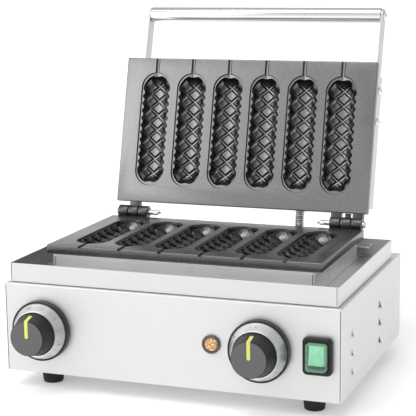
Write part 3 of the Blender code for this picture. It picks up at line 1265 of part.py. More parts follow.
def gland_mesh(name, wall):
    """Returns a gland along Z through a wall whose outer face is at zero height, its nuts on both sides."""
    bottom = -wall - LOCKNUT_HEIGHT - SEAT_GAP
    top = GLAND_NUT_HEIGHT + SEAT_GAP
    nut_radius = GLAND_NUT_WIDTH / 2 / math.cos(math.pi / 6)
    nuts = []
    for low, high in ((SEAT_GAP, top), (bottom, -wall - SEAT_GAP)):
        nuts.append(cutter(name + "_nut", cylinder_mesh(name + "_nut", nut_radius, low, high, 6), None))
    barrel = cutter(name, cylinder_mesh(name, GLAND_BARREL, bottom, top, SCREW_SIDES), None)
    bore_span = (bottom - CUT_OVERRUN, top + CUT_OVERRUN)
    bore = cutter(name + "_bore", cylinder_mesh(name + "_bore", GLAND_BORE, *bore_span, SCREW_SIDES), None)
    for nut in nuts:
        combine(barrel, nut, "UNION")
    combine(barrel, bore)
    bpy.context.view_layer.update()
    mesh = frozen(barrel, name)
    mesh.transform(Matrix.Rotation(math.pi / 6, 4, "Z"))
    for helper in (*nuts, bore):
        bpy.data.objects.remove(helper, do_unlink=True)
    return mesh


def add_glands(base, lid):
    """Adds the glands: on the lid and the rear deck for the conduit, and at the back for the mains lead."""
    near = -(HINGE_SETBACK + COVER_HINGE_MARGIN)
    lid_place = (CONDUIT_X, near, UPPER_FACE + CONDUIT_LID_HEIGHT)
    lid_gland = gland_mesh("lid_gland", COVER_SHEET)
    place("lid_gland", lid_gland, BRIGHT_STEEL, lid, lid_place, ALONG_BACK)
    deck_gland = gland_mesh("deck_gland", HOUSING_SHEET)
    place("deck_gland", deck_gland, BRIGHT_STEEL, base, (CONDUIT_X, conduit_deck_y(), HOUSING_TOP))
    cord_gland = gland_mesh("cord_gland", HOUSING_SHEET)
    cord_place = (CORD_GLAND_X, HOUSING_DEPTH, FOOT_HEIGHT + CORD_GLAND_RISE)
    place("cord_gland", cord_gland, BLACK_PLASTIC, base, cord_place, ALONG_BACK)


def conduit_route():
    """Returns the conduit's middle line as (y, z): straight out of the lid gland, a bend, straight down."""
    turn = -OPEN_ANGLE
    near = -(HINGE_SETBACK + COVER_HINGE_MARGIN) + SEAT_GAP + GLAND_NUT_HEIGHT
    height = UPPER_FACE + CONDUIT_LID_HEIGHT
    mouth = Vector((
        AXIS_Y + near * math.cos(turn) - height * math.sin(turn),
        AXIS_Z + near * math.sin(turn) + height * math.cos(turn),
    ))
    out = Vector((math.cos(turn), math.sin(turn)))
    down = Vector((0, -1))
    start = mouth - out * CONDUIT_SEAT
    bend_start = mouth + out * (CONDUIT_STRAIGHT - CONDUIT_SEAT)
    bend_end = Vector((conduit_deck_y(), HOUSING_TOP + GLAND_NUT_HEIGHT))
    end = bend_end + down * (GLAND_NUT_HEIGHT + CONDUIT_TAIL)
    span = (bend_end - bend_start).length
    points = [start]
    for index in range(CONDUIT_BEND_STEPS + 1):
        share = index / CONDUIT_BEND_STEPS
        first = bend_start + out * span * share
        last = bend_end - down * span * (1 - share)
        ease = share * share * (3 - 2 * share)
        points.append(first.lerp(last, ease))
    points.append(end)
    return points


def evenly_spaced(points, spacing):
    """Returns points along a line of points at an even spacing, both ends included."""
    lengths = [0.0]
    for first, second in zip(points, points[1:]):
        lengths.append(lengths[-1] + (second - first).length)
    count = max(2, round(lengths[-1] / spacing))
    result = []
    segment = 0
    for index in range(count + 1):
        target = lengths[-1] * index / count
        while segment < len(points) - 2 and lengths[segment + 1] < target:
            segment += 1
        share = (target - lengths[segment]) / (lengths[segment + 1] - lengths[segment])
        result.append(points[segment].lerp(points[segment + 1], share))
    return result


def add_conduit(base):
    """Adds the ribbed hose with its bore cut out."""
    route = conduit_route()
    ribbed = evenly_spaced(route, CONDUIT_RIB_PITCH / 2)
    radii = [1.0 if index % 2 else 1 - CONDUIT_GROOVE / CONDUIT_RADIUS for index in range(len(ribbed))]
    outer = tube_curve("conduit", [(0, y, z) for y, z in ribbed], CONDUIT_RADIUS, radii)
    hose = place("conduit", curve_mesh(outer, "conduit"), HOSE_STEEL, base, (CONDUIT_X, 0, 0))
    total = sum((second - first).length for first, second in zip(route, route[1:]))
    inner = evenly_spaced(route, total / CONDUIT_BORE_STEPS)
    inner[0] -= (inner[1] - inner[0]).normalized() * CUT_OVERRUN
    inner[-1] -= (inner[-2] - inner[-1]).normalized() * CUT_OVERRUN
    bore = tube_curve("conduit_bore", [(0, y, z) for y, z in inner], CONDUIT_BORE)
    combine(hose, cutter("conduit_bore", curve_mesh(bore, "conduit_bore"), base, (CONDUIT_X, 0, 0)))


def add_terminal_block(base):
    """Adds the block on the base plate where the mains lead is joined."""
    width, depth, height = TERMINAL_SIZE
    seat = FOOT_HEIGHT + BASE_SHEET + SEAT_GAP
    middle = (TERMINAL_X, HOUSING_DEPTH - TERMINAL_REAR_INSET, seat + height / 2)
    block_shape = block_mesh("terminal_block", TERMINAL_SIZE, TERMINAL_EDGE)
    block = place("terminal_block", block_shape, TERMINAL_PLASTIC, base, middle)
    well = cylinder_mesh("terminal_well", TERMINAL_WELL, 0, height, SCREW_SIDES)
    pitch = width / TERMINAL_POLES
    first = -(TERMINAL_POLES - 1) / 2 * pitch
    places = [Matrix.Translation((first + index * pitch, 0, 0)) for index in range(TERMINAL_POLES)]
    combine(block, cutter("terminal_wells", joined_mesh("terminal_wells", well, places), base, middle))


def build():
    """Builds the whole machine."""
    base = frame("machine_frame", None, (0, -FOOTPRINT_MIDDLE, 0))
    lid = frame("lid_axis", base, (0, AXIS_Y, AXIS_Z), (-OPEN_ANGLE, 0, 0))
    add_housing(base)
    add_base_plate(base)
    add_feet(base)
    add_tray(base)
    add_chamber(base)
    add_mould_plates(base, lid)
    add_heater("lower", frame("lower_axis", base, (0, AXIS_Y, AXIS_Z)), -AXIS_ABOVE_LOWER, -1)
    add_heater("upper", lid, UPPER_FACE, 1)
    add_hinge_pins(base)
    add_lid_cover(lid)
    add_handle(lid)
    add_control("thermostat", THERMOSTAT_X, base)
    add_control("timer", TIMER_X, base)
    add_lamp(base)
    add_switch(base)
    add_glands(base, lid)
    add_conduit(base)
    add_terminal_block(base)


build()
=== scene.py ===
import json
import math

import bmesh
import bpy
from bpy.props import FloatProperty, FloatVectorProperty, IntProperty, PointerProperty
from mathutils import Euler, Matrix, Vector

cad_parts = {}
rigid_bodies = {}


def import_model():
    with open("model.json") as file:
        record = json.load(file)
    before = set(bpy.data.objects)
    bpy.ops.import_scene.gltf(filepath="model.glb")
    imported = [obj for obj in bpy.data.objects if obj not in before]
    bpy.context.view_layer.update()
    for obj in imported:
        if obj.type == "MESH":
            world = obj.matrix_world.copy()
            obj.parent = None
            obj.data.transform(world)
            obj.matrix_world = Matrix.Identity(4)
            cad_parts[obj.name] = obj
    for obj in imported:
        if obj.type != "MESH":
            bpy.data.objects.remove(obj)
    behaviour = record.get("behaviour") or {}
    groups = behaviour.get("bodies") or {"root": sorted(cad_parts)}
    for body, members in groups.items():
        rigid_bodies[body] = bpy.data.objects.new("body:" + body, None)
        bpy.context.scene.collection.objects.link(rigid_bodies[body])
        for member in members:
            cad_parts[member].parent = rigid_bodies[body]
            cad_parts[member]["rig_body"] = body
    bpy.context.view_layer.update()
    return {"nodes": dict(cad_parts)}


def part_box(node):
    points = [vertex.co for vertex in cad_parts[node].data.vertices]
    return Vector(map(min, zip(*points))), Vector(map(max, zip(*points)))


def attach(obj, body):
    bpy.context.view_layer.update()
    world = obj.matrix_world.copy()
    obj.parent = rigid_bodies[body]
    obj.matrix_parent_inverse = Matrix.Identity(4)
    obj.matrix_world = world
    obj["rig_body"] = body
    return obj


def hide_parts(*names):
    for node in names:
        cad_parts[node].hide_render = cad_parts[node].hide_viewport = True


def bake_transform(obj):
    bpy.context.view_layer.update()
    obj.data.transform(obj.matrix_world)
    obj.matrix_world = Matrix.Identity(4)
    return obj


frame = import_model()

bl_info = {
    "name": "Corn dog maker",
    "version": (1, 0, 0),
    "blender": (4, 5, 0),
    "location": "3D View > Sidebar > Corn dog maker",
    "description": "Dresses the packed corn dog maker with detailed pieces and finishes, and lights it",
    "category": "Object",
}

# Working values shared by all pieces
MERGE_DISTANCE = 0.00001
SEAT_GAP = 0.0003
SCREW_GAP = 0.0003
PIN_GAP = 0.0001
OVERRUN = 0.002
SMALL_EDGE = 0.0005
FINE_EDGE = 0.0003
HAIR_EDGE = 0.0002
SHARP_ANGLE = math.radians(32)
ROUND_STEPS = 48
FINE_STEPS = 96
SCREW_STEPS = 32
HOLE_STEPS = 24
ROUNDING_STEPS = 4
SMOOTH_STEPS = 6
FACING_SHARE = 0.5
HALF = math.pi / 2
UP = Vector((0, 0, 1))
DOWN = Vector((0, 0, -1))

# Housing
HOUSING_WIDTH = 0.380
HOUSING_DEPTH = 0.270
HOUSING_HEIGHT = 0.0985
HOUSING_SHEET = 0.0010
HOUSING_SIDE = HOUSING_WIDTH / 2
FOOT_HEIGHT = 0.020
HOUSING_TOP = FOOT_HEIGHT + HOUSING_HEIGHT
DECK_LEDGE = 0.016
SEAM_WIDTH = 0.0007
SEAM_INSET = 0.0015
SEAM_CLEAR = 0.0020
LOUVRE_TOPS = (0.0888, 0.0686, 0.0484)
LOUVRE_STARTS = (0.041, 0.163)
LOUVRE_LENGTH = 0.072
LOUVRE_HEIGHT = 0.0102
LOUVRE_RISE = 0.0030
LOUVRE_ROOT = 0.0025
LOUVRE_EDGE = 0.0004
LOUVRE_EDGE_STEPS = 3
LOUVRE_CLEAR = 0.0003

# Drip tray and chamber
TRAY_SIDE_INSET = 0.0045
TRAY_FRONT = 0.0050
TRAY_REAR = 0.242
TRAY_HEIGHT = 0.021
TRAY_SHEET = 0.0012
TRAY_CORNER = 0.0016
TRAY_FOLD = 0.0014
# Painted shade on the inner faces of the tray's side walls
TRAY_INNER_SHADE = 0.75
TRAY_FLOOR = HOUSING_TOP + SEAT_GAP
TRAY_OPENING = (0.200, 0.100)
CHAMBER_WIDTH = 0.302
CHAMBER_FRONT = 0.041
CHAMBER_REAR = 0.2145
CHAMBER_SHEET = 0.0012
CHAMBER_BEND = 0.0015
WELD_RADIUS = 0.0009
WELD_WAIST_SHARE = 0.70
WELD_PITCH = 0.0022
WELD_INSET = 0.0034
WELD_STEPS = 16
BRACKET_PLACE = (0.154, 0.2405, 0.133)
BRACKET_WIDTH = 0.018
BRACKET_REACH = 0.0155
BRACKET_DROP = 0.010
BRACKET_SHEET = 0.0015
BRACKET_EDGE = 0.0004
BRACKET_FOLD = 0.0014

# Mould plates
PLATE_WIDTH = 0.316
PLATE_LENGTH = 0.178
PLATE_THICKNESS = 0.010
PLATE_EDGE = 0.0012
PLATE_EDGE_STEPS = 3
LOWER_FACE = 0.1545
PLATE_REAR = 0.2185
MOULD_COUNT = 6
MOULD_PITCH = 0.047
RECESS_WIDTH = 0.037
RECESS_LENGTH = 0.1385
RECESS_DEPTH = 0.0021
RECESS_DRAFT = 0.0015
MOULD_END_STEPS = 16
LEVEL_SHARE = 0.965
STEEP_SHARE = 0.86
# Painted shade on the castings: on their sides and ears, on the lower plate's level faces, and held lighter on the
# lower plate's stud tops
SIDE_PAINTED_SHADE = 0.50
EAR_PAINTED_SHADE = 0.80
LOWER_LEVEL_SHADE = 0.20
LOWER_TOP_SHADE = 0.35
TOP_SHARE = 0.92
STUDS_TO_RIM = 1.25
STUD_EDGE = 0.0003
STUD_EDGE_STEPS = 2
STUD_RIM_SHARE = 0.85
GROOVE_FLOOR = 0.0014
TROUGH_LIP = 0.0003
SLOT_LIFT = 0.0002
STICK_SLOT_WIDTH = 0.005
STICK_SLOT_OVERLAP = 0.008
PAD_WIDTH = 0.288
PAD_LENGTH = 0.150
PAD_DEPTH = 0.009
PAD_EDGE = 0.002

# Hinge
HINGE_SETBACK = 0.0125
AXIS_Y = PLATE_REAR + HINGE_SETBACK
AXIS_ABOVE_LOWER = 0.0032
AXIS_Z = LOWER_FACE + AXIS_ABOVE_LOWER
UPPER_FACE = -0.0026
MOULD_Y = -0.10285
OPEN_ANGLE = math.radians(105)
HINGE_SPREAD = 0.134
EAR_PITCH = 0.013
KNUCKLE_WIDTH = 0.0122
KNUCKLE_EDGE = 0.0007
BARREL_RADIUS = 0.00765
BARREL_STEPS = 28
EAR_ROOT = 0.003
EAR_SET_DOWN = 0.0005
HEEL_SIZE = (0.007, 0.0082, 0.003)
HEEL_START = 0.004
HEEL_ROOT = 0.004
HINGE_OUTER = 0.1531
HINGE_INNER = 0.1149
PIN_RADIUS = 0.003
PIN_HEAD_RADIUS = 0.0039
PIN_HEAD_LENGTH = 0.0045
PIN_HEAD_STEPS = 10
PIN_TAIL = 0.0128
PIN_END_ROUND = 0.0008
PIN_HOLE_RADIUS = 0.0016
RING_RADIUS = 0.0055
RING_WIRE = 0.0008
RING_WIRE_STEPS = 12
RING_X = 0.1049

# Lid cover and handle
COVER_WIDTH = 0.305
COVER_DEPTH = 0.0467
COVER_NEAR = -0.022
COVER_FAR = -0.1805
COVER_BACK = 0.0077
COVER_SHEET = 0.0010
COVER_BEND = 0.006
COVER_BEND_STEPS = 8
ARM_WIDTH = 0.016
ARM_TILT = math.radians(2.35)
ARM_LENGTH = 0.139
ARM_SCREW_REACHES = (0.092, 0.1295)
ARM_EDGE = 0.0003
ARM_SLOT_GAP = 0.0006
HANDLE_Y = -0.2545
HANDLE_Z = 0.0420
HANDLE_RADIUS = 0.00925
HANDLE_WALL = 0.0012
HANDLE_PLUG = 0.010
SCREW_RADIUS = 0.0025
SCREW_DOME_STEPS = 8
ARM_SCREW = (0.005, 0.003, 0.0062)
END_SCREW = (0.006, 0.003, 0.011)
SCREW_SOCKET_RADIUS = 0.0017
SCREW_SOCKET_DEPTH = 0.0014

# Controls
CONTROL_Z = 0.0690
THERMOSTAT_X = -0.145
TIMER_X = 0.104
BUSHING_RADIUS = 0.006
BEZEL_EDGE = 0.0009
BEZEL_RISE = 0.0090
BEZEL_RING = 0.0014
BEZEL_FLOOR = 0.0020
BEZEL_HOLE = 0.0075
DIAL_BORE = 0.0250
DIAL_BORE_RISE = 0.0165
DIAL_LIP = 0.0240
DIAL_SKIRT = 0.0087
DIAL_RISE = 0.0200
KNOB_SHOULDER = 0.0160
KNOB_SHOULDER_ROUND = 0.002
KNOB_EDGE = 0.0010
KNOB_BACK = 0.0040
KNOB_BACK_ROUND = 0.0006
KNOB_RIBS = 72
KNOB_RIB_DEPTH = 0.00035
KNOB_RIB_MARGIN = 0.0012
SHAFT_HOLE = 0.0033
SHAFT_SEAT = 0.026
POINTER_DEPTH = 0.0011
POINTER_PROUD = 0.00018
POINTER_SIDE_SHARE = 0.52
POINTER_END_SHARE = 0.46
MARK_RAISE = 0.00006
MARK_HEIGHT = 0.0034
CAPITAL_SHARE = 0.7
TICK_SIZE = (0.0006, 0.0034)
THERMOSTAT_TICKS = (15, 37, 52, 112, 127, 150, 172)
THERMOSTAT_MARKS = (("50", 200), ("100", 235), ("150", 270), ("200", 305), ("250", 340))
TIMER_TICKS = (0,)
TIMER_MARKS = (("1", 60), ("2", 95), ("3", 130), ("4", 165), ("5", 200), ("6", 235), ("7", 270), ("8", 305))

# Lamp
LAMP_X = 0.0507
LAMP_Z = 0.0705
LAMP_FLANGE = 0.010
LAMP_FLANGE_RISE = 0.0030
LAMP_FLANGE_EDGE = 0.0008
LAMP_BARREL = 0.0083
LAMP_BORE = 0.0077
LAMP_BORE_EDGE = 0.0004
LAMP_BORE_DEPTH = 0.006
LAMP_DEPTH = 0.022
LAMP_STEPS = 64
LENS_RISE = 0.0046
LENS_FACE_RADIUS = 0.0046
LENS_DISH = 0.0006
LENS_WAIST_DROP = 0.0008
LENS_FACETS = 14
LENS_SHARP_ANGLE = math.radians(5)

# Switch
SWITCH_X = 0.1659
SWITCH_SIZE = (0.0309, 0.0395)
SWITCH_CORNER = 0.005
SWITCH_RISE = 0.0072
SWITCH_EDGE = 0.0020
SWITCH_HOLE = (0.0286, 0.0334)
WINDOW_SIZE = (0.0224, 0.0300)
WINDOW_CORNER = 0.0030
SPLASH_RISE = 0.0140
SPLASH_WALL = 0.0010
ROCKER_WIDTH = 0.0156
ROCKER_HALF = 0.010
ROCKER_RIDGE = 0.0094
ROCKER_RIDGE_ROUND = 0.004
ROCKER_TIP = 0.0108
ROCKER_TIP_ROUND = 0.0008
ROCKER_PIVOT_DEPTH = 0.0010
ROCKER_BACK = 0.0050
ROCKER_BACK_HALF = 0.0085
ROCKER_BACK_ROUND = 0.0006
ROCKER_EDGE = 0.0004
ROCKER_TILT = math.radians(10)
ROCKER_SLOPE = math.atan2(ROCKER_TIP - ROCKER_RIDGE, ROCKER_HALF)
ROCKER_BAR = (0.0009, 0.0036)
ROCKER_LOOP = (0.0022, 0.0015)
ROCKER_MARK_RISE = 0.0002
PIVOT_RADIUS = 0.0012
PIVOT_REACH = 0.0088

# Feet
FOOT_PLACES = {
    "foot_front_left": (-0.152, 0.035),
    "foot_front_right": (0.152, 0.035),
    "foot_rear_left": (-0.152, 0.235),
    "foot_rear_right": (0.152, 0.235),
}
FOOT_TOP_RADIUS = 0.013
FOOT_BOTTOM_RADIUS = 0.011
FOOT_BOTTOM_ROUND = 0.00168
FOOT_BORE = 0.0030
FOOT_COUNTERBORE = 0.0055
FOOT_COUNTERBORE_DEPTH = 0.008

# Glands and conduit
GLAND_NUT_WIDTH = 0.0185
GLAND_NUT_HEIGHT = 0.009
LOCKNUT_HEIGHT = 0.0035
GLAND_BARREL = 0.0070
GLAND_BORE = 0.0059
CONDUIT_X = 0.072
CORD_GLAND_PLACE = (-0.150, HOUSING_DEPTH, 0.050)
DECK_GLAND_PLACE = (CONDUIT_X, 0.252, HOUSING_TOP)
LID_GLAND_PLACE = (CONDUIT_X, COVER_NEAR, UPPER_FACE + 0.020)
CONDUIT_SEAT = 0.006
CONDUIT_STRAIGHT = 0.011
CONDUIT_TAIL = 0.045
CONDUIT_BEND_STEPS = 24
RINGS_PER_RIB = 6
CONDUIT_SIDES = 20

# Finishes: the lines and clouds of brushed sheet, and how squarely a knob's face looks forward
BRUSH_LENGTH = 0.12
BRUSH_WIDTH = 0.0009
SHEET_CLOUD = 0.07
KNOB_FACE_SHARE = 0.93

# Camera and light
CAMERA_PLACE = (0.525019738, -1.276724876, 0.474096691)
CAMERA_YAW = math.radians(20.461681625)
CAMERA_PITCH = math.radians(-10.794157964)
CAMERA_ROLL = math.radians(-0.722469108)
CAMERA_LENS = 117.69
CAMERA_SENSOR = 36.0
FLOOR_SIZE = 12.0
FLOOR_LIFT = 0.20
KEY_TURN = (math.radians(24), math.radians(-8), 0)
SKY_FADE = (0.15, 0.60)
PANEL_BEARING = math.radians(43)
PANEL_RISE = math.radians(22)
PANEL_DISTANCE = 1.7
PANEL_AIM = (0, 0, 0.25)


def at(x, y, z):
    """Returns the move to a place."""
    return Matrix.Translation((x, y, z))


def about(axis, angle):
    """Returns a turn about an axis."""
    return Matrix.Rotation(angle, 4, axis)


# Placing: how far the open machine reaches to the back and to the front, and the turns that pieces need
REAR_REACH = AXIS_Y + HANDLE_Y * math.cos(OPEN_ANGLE) + HANDLE_Z * math.sin(OPEN_ANGLE) + HANDLE_RADIUS
FRONT_REACH = 0.0387
MACHINE = at(0, (FRONT_REACH - REAR_REACH) / 2, 0)
HINGE = MACHINE @ at(0, AXIS_Y, AXIS_Z)
LID = HINGE @ about("X", -OPEN_ANGLE)
TO_FRONT = about("X", HALF)
TO_BACK = about("X", -HALF)
TO_RIGHT = about("Y", HALF)
TO_LEFT = about("Y", -HALF)
SIDES = (("left", -1, TO_LEFT), ("right", 1, TO_RIGHT))
SIDE_VIEW = Euler((HALF, 0, HALF)).to_matrix().to_4x4()
FRONT_PROFILE = Euler((HALF, 0, -HALF)).to_matrix().to_4x4()


# Settings


def length_setting(name, description, default, **limits):
    """Returns a length, in metres."""
    return FloatProperty(name=name, description=description, default=default, unit="LENGTH", **limits)


def colour_setting(name, description, default):
    """Returns a colour."""
    return FloatVectorProperty(
        name=name, description=description, default=default, subtype="COLOR", size=3, min=0.0, max=1.0
    )


def light_setting(name, description, default):
    """Returns a strength or share of light."""
    return FloatProperty(name=name, description=description, default=default, min=0.0)


class HousingSizes(bpy.types.PropertyGroup):
    """Sizes of the folded housing and the tray on it."""

    bend: length_setting("Bend", "Radius of the folds of the housing", 0.0012, min=0.0003)
    bend_steps: IntProperty(name="Bend steps", description="Facets in each fold", default=4, min=1, max=8)


class MouldSizes(bpy.types.PropertyGroup):
    """Sizes of the waffle moulds in both plates."""

    trough_width: length_setting("Trough width", "Width of a mould at its rim", 0.0352)
    trough_length: length_setting("Trough length", "Length of a mould at its rim", 0.1340)
    trough_depth: length_setting("Trough depth", "Depth of a mould below its rim", 0.013)
    stud_pitch: length_setting("Stud pitch", "Distance between square studs", 0.018)
    stud_height: length_setting("Stud height", "How far a stud stands out", 0.0024)
    groove: length_setting("Groove", "Distance between the tops of two studs", 0.0054)


class HandleSizes(bpy.types.PropertyGroup):
    """Sizes of the lid's handle."""

    tube_radius: length_setting("Tube radius", "Outer radius of the handle tube", HANDLE_RADIUS)
    arm_thickness: length_setting("Arm thickness", "Thickness of the flat arms", 0.0025)
    end_round: length_setting("End rounding", "Rounding of the tube's ends", 0.0006)


class ControlSizes(bpy.types.PropertyGroup):
    """Sizes of the two knobs with their bezels and dials."""

    bezel_radius: length_setting("Bezel radius", "Outer radius of the dark bezel", 0.0330)
    dial_radius: length_setting("Dial radius", "Outer radius of the dial ring", 0.0313)
    dial_top_radius: length_setting("Dial top radius", "Radius at the dial's front edge", 0.0254)
    knob_radius: length_setting("Knob radius", "Radius of the knob where it leaves the dial", 0.0244)
    knob_face_radius: length_setting("Knob face radius", "Radius of the knob's face", 0.0192)
    knob_rise: length_setting("Knob rise", "Height of the knob above the panel", 0.0385)
    pointer_width: length_setting("Pointer width", "Width of the yellow pointer", 0.0039)


class ConduitSizes(bpy.types.PropertyGroup):
    """Sizes of the ribbed hose between the deck and the lid."""

    radius: length_setting("Radius", "Outer radius of the hose", 0.0055)
    groove: length_setting("Groove", "Depth between two ribs", 0.0006)
    rib_pitch: length_setting("Rib pitch", "Distance between ribs", 0.0022)


class FinishColours(bpy.types.PropertyGroup):
    """Colours of the finishes."""

    steel: colour_setting("Steel", "Brushed sheet steel", (0.72, 0.72, 0.715))
    polished: colour_setting("Polished steel", "Tube, pins and screws", (0.75, 0.75, 0.75))
    casting: colour_setting("Casting", "Coated mould plates", (0.235, 0.235, 0.238))
    hose: colour_setting("Hose", "Ribbed hose", (0.62, 0.62, 0.60))
    element: colour_setting("Element", "Heating elements", (0.30, 0.28, 0.25))
    plastic: colour_setting("Black plastic", "Bezels, frame and bodies", (0.010, 0.010, 0.011))
    knob_face: colour_setting("Knob face", "Front of the knobs", (0.120, 0.120, 0.122))
    knob_flank: colour_setting("Knob flank", "Sides of the knobs", (0.012, 0.012, 0.013))
    dial: colour_setting("Dial", "Turned dial rings", (0.92, 0.92, 0.93))
    pointer: colour_setting("Pointer", "Pointer paint", (0.72, 0.75, 0.18))
    lamp: colour_setting("Lamp", "Lens of the lamp", (0.62, 0.33, 0.10))
    splash: colour_setting("Splash cover", "Clear green cover", (0.42, 0.62, 0.50))
    rocker: colour_setting("Rocker", "Lit rocker", (0.26, 0.68, 0.42))
    rubber: colour_setting("Rubber", "Feet", (0.022, 0.022, 0.023))
    terminal: colour_setting("Terminal block", "Pale plastic", (0.78, 0.77, 0.72))
    light_mark: colour_setting("Light marks", "Marks on the rocker", (0.86, 0.90, 0.87))
    dark_mark: colour_setting("Dark marks", "Marks on the dials", (0.10, 0.10, 0.105))
    floor: colour_setting("Floor", "Floor of the studio", (0.97, 0.97, 0.97))


class StageSettings(bpy.types.PropertyGroup):
    """Light on the machine."""

    daylight: light_setting("Surrounding light", "Even light from all around", 0.66)
    zenith_share: light_setting("Zenith", "Share of white that reflections of the sky keep overhead", 0.58)
    key_strength: light_setting("Key light", "Strength of the soft light from above", 1.15)
    panel_power: light_setting("Panel light", "Power of the soft panel at the front left, in watts", 6.0)
    panel_size: length_setting("Panel size", "Side of the soft panel", 1.0)
    key_spread: FloatProperty(
        name="Key spread", description="Width of the key light", default=math.radians(44), subtype="ANGLE"
    )


# Shapes


def linked(name, data):
    """Returns a new object in the scene for a mesh, curve, camera or light."""
    item = bpy.data.objects.new(name, data)
    bpy.context.scene.collection.objects.link(item)
    return item


def opened(mesh):
    """Returns a bmesh of a mesh."""
    bm = bmesh.new()
    bm.from_mesh(mesh)
    return bm


def finished(bm, name, sharp_angle=SHARP_ANGLE):
    """Turns a bmesh into a mesh that is welded, faces outwards and is smooth but for its sharp edges."""
    bmesh.ops.remove_doubles(bm, verts=bm.verts, dist=MERGE_DISTANCE)
    bmesh.ops.recalc_face_normals(bm, faces=bm.faces)
    mesh = bpy.data.meshes.new(name)
    bm.to_mesh(mesh)
    bm.free()
    mesh.shade_smooth()
    mesh.set_sharp_from_angle(angle=sharp_angle)
    return mesh


def baked(item):
    """Returns the mesh that an object's modifiers or curve settings give, and removes the object."""
    bpy.context.view_layer.update()
    depsgraph = bpy.context.evaluated_depsgraph_get()
    result = bpy.data.meshes.new_from_object(item.evaluated_get(depsgraph))
    name = item.data.name
    bpy.data.objects.remove(item, do_unlink=True)
    bm = opened(result)
    bpy.data.meshes.remove(result)
    return finished(bm, name)


def mesh_of(curve):
    """Turns a curve or text into a mesh."""
    mesh = baked(linked(curve.name, curve))
    bpy.data.curves.remove(curve)
    return mesh


def carved(mesh, add=(), cut=(), keep=()):
    """Adds other meshes, cuts others away, and then keeps only what lies within the last ones."""
    item = linked(mesh.name, mesh)
    steps = [("UNION", tool) for tool in add] + [("DIFFERENCE", tool) for tool in cut]
    steps += [("INTERSECT", tool) for tool in keep]
    helpers = [linked(tool.name, tool) for operation, tool in steps]
    for (operation, tool), helper in zip(steps, helpers):
        change = item.modifiers.new(operation.lower(), "BOOLEAN")
        change.operation = operation
        change.solver = "EXACT"
        change.object = helper
    result = baked(item)
    for helper in helpers:
        bpy.data.objects.remove(helper, do_unlink=True)
    return result


def moved(mesh, matrix):
    """Moves a mesh and returns it."""
    mesh.transform(matrix)
    return mesh


def repeated(mesh, matrices):
    """Returns one mesh with a copy of the given one at each matrix."""
    bm = bmesh.new()
    for matrix in matrices:
        start = len(bm.verts)
        bm.from_mesh(mesh)
        bm.verts.ensure_lookup_table()
        bmesh.ops.transform(bm, matrix=matrix, verts=bm.verts[start:])
    return finished(bm, mesh.name)


def bevelled(bm, edges, width, steps):
    """Rounds edges of a bmesh."""
    bmesh.ops.bevel(
        bm, geom=edges, offset=width, offset_type="OFFSET", affect="EDGES", segments=steps, profile=0.5, material=-1
    )


def cube(size):
    """Returns a bmesh of a block about its own middle."""
    bm = bmesh.new()
    bmesh.ops.create_cube(bm, size=1.0)
    bmesh.ops.scale(bm, vec=size, verts=bm.verts)
    return bm


def block(name, size, middle=(0, 0, 0), edge=0.0, steps=2):
    """Returns a block about a middle, with rounded edges."""
    bm = cube(size)
    if edge:
        bevelled(bm, bm.edges[:], edge, steps)
    return moved(finished(bm, name), at(*middle))


def sheet_pan(name, size, middle, thickness, open_sides, bends):
    """Returns a folded sheet: a box without its open sides. Each bend is a test of edges, a radius and steps."""
    bm = cube(size)
    missing = [face for face in bm.faces if any(face.normal.dot(side) > FACING_SHARE for side in open_sides)]
    bmesh.ops.delete(bm, geom=missing, context="FACES_ONLY")
    for is_bent, radius, steps in bends:
        folds = [edge for edge in bm.edges if not edge.is_boundary and is_bent(edge)]
        bevelled(bm, folds, radius, steps)
    item = linked(name, finished(bm, name))
    wall = item.modifiers.new("wall", "SOLIDIFY")
    wall.thickness = thickness
    wall.offset = -1.0
    wall.use_even_offset = True
    return moved(baked(item), at(*middle))


def always(item):
    """Takes every fold or face."""
    return True


def is_upright(edge):
    """Tells whether a fold runs along Z."""
    return abs(edge.verts[0].co.z - edge.verts[1].co.z) > MERGE_DISTANCE


def is_below(edge):
    """Tells whether a fold lies below the middle."""
    return max(vertex.co.z for vertex in edge.verts) < 0


def is_above(edge):
    """Tells whether a fold lies above the middle."""
    return min(vertex.co.z for vertex in edge.verts) > 0


def rod(name, radius, low, high, steps=ROUND_STEPS):
    """Returns a rod along Z between two heights."""
    bm = bmesh.new()
    middle = at(0, 0, (low + high) / 2)
    bmesh.ops.create_cone(
        bm, cap_ends=True, segments=steps, radius1=radius, radius2=radius, depth=high - low, matrix=middle
    )
    return finished(bm, name)


def drill(radius, reach, place, steps=ROUND_STEPS):
    """Returns what makes a round hole: a rod that reaches equally far to both sides of a place."""
    return moved(rod("hole", radius, -reach, reach, steps), place)


def softened(corners, steps=ROUNDING_STEPS):
    """Rounds a line of corners. A corner with a third number is cut back by that length."""
    points = [Vector(corner[:2]) for corner in corners]
    result = []
    for index, (point, corner) in enumerate(zip(points, corners)):
        if len(corner) == 2:
            result.append(point)
            continue
        first = point + (points[index - 1] - point).normalized() * corner[2]
        last = point + (points[(index + 1) % len(points)] - point).normalized() * corner[2]
        for step in range(steps + 1):
            share = step / steps
            result.append(first.lerp(point, share).lerp(point.lerp(last, share), share))
    return result


def turned(name, corners, steps=ROUND_STEPS, closed=False, rounding=ROUNDING_STEPS):
    """Returns a line of corners turned about Z. Each corner is a radius, a height and, if it is round, its cut."""
    bm = bmesh.new()
    points = [bm.verts.new((radius, 0, height)) for radius, height in softened(corners, rounding)]
    edges = [bm.edges.new(pair) for pair in zip(points, points[1:])]
    if closed:
        edges.append(bm.edges.new((points[-1], points[0])))
    bmesh.ops.spin(bm, geom=points + edges, axis=UP, cent=(0, 0, 0), angle=math.tau, steps=steps, use_merge=True)
    return finished(bm, name)


def arc(centre, radius, start, stop, steps):
    """Returns points along an arc, both ends included."""
    angles = [start + (stop - start) * index / steps for index in range(steps + 1)]
    return [(centre[0] + radius * math.cos(a), centre[1] + radius * math.sin(a)) for a in angles]


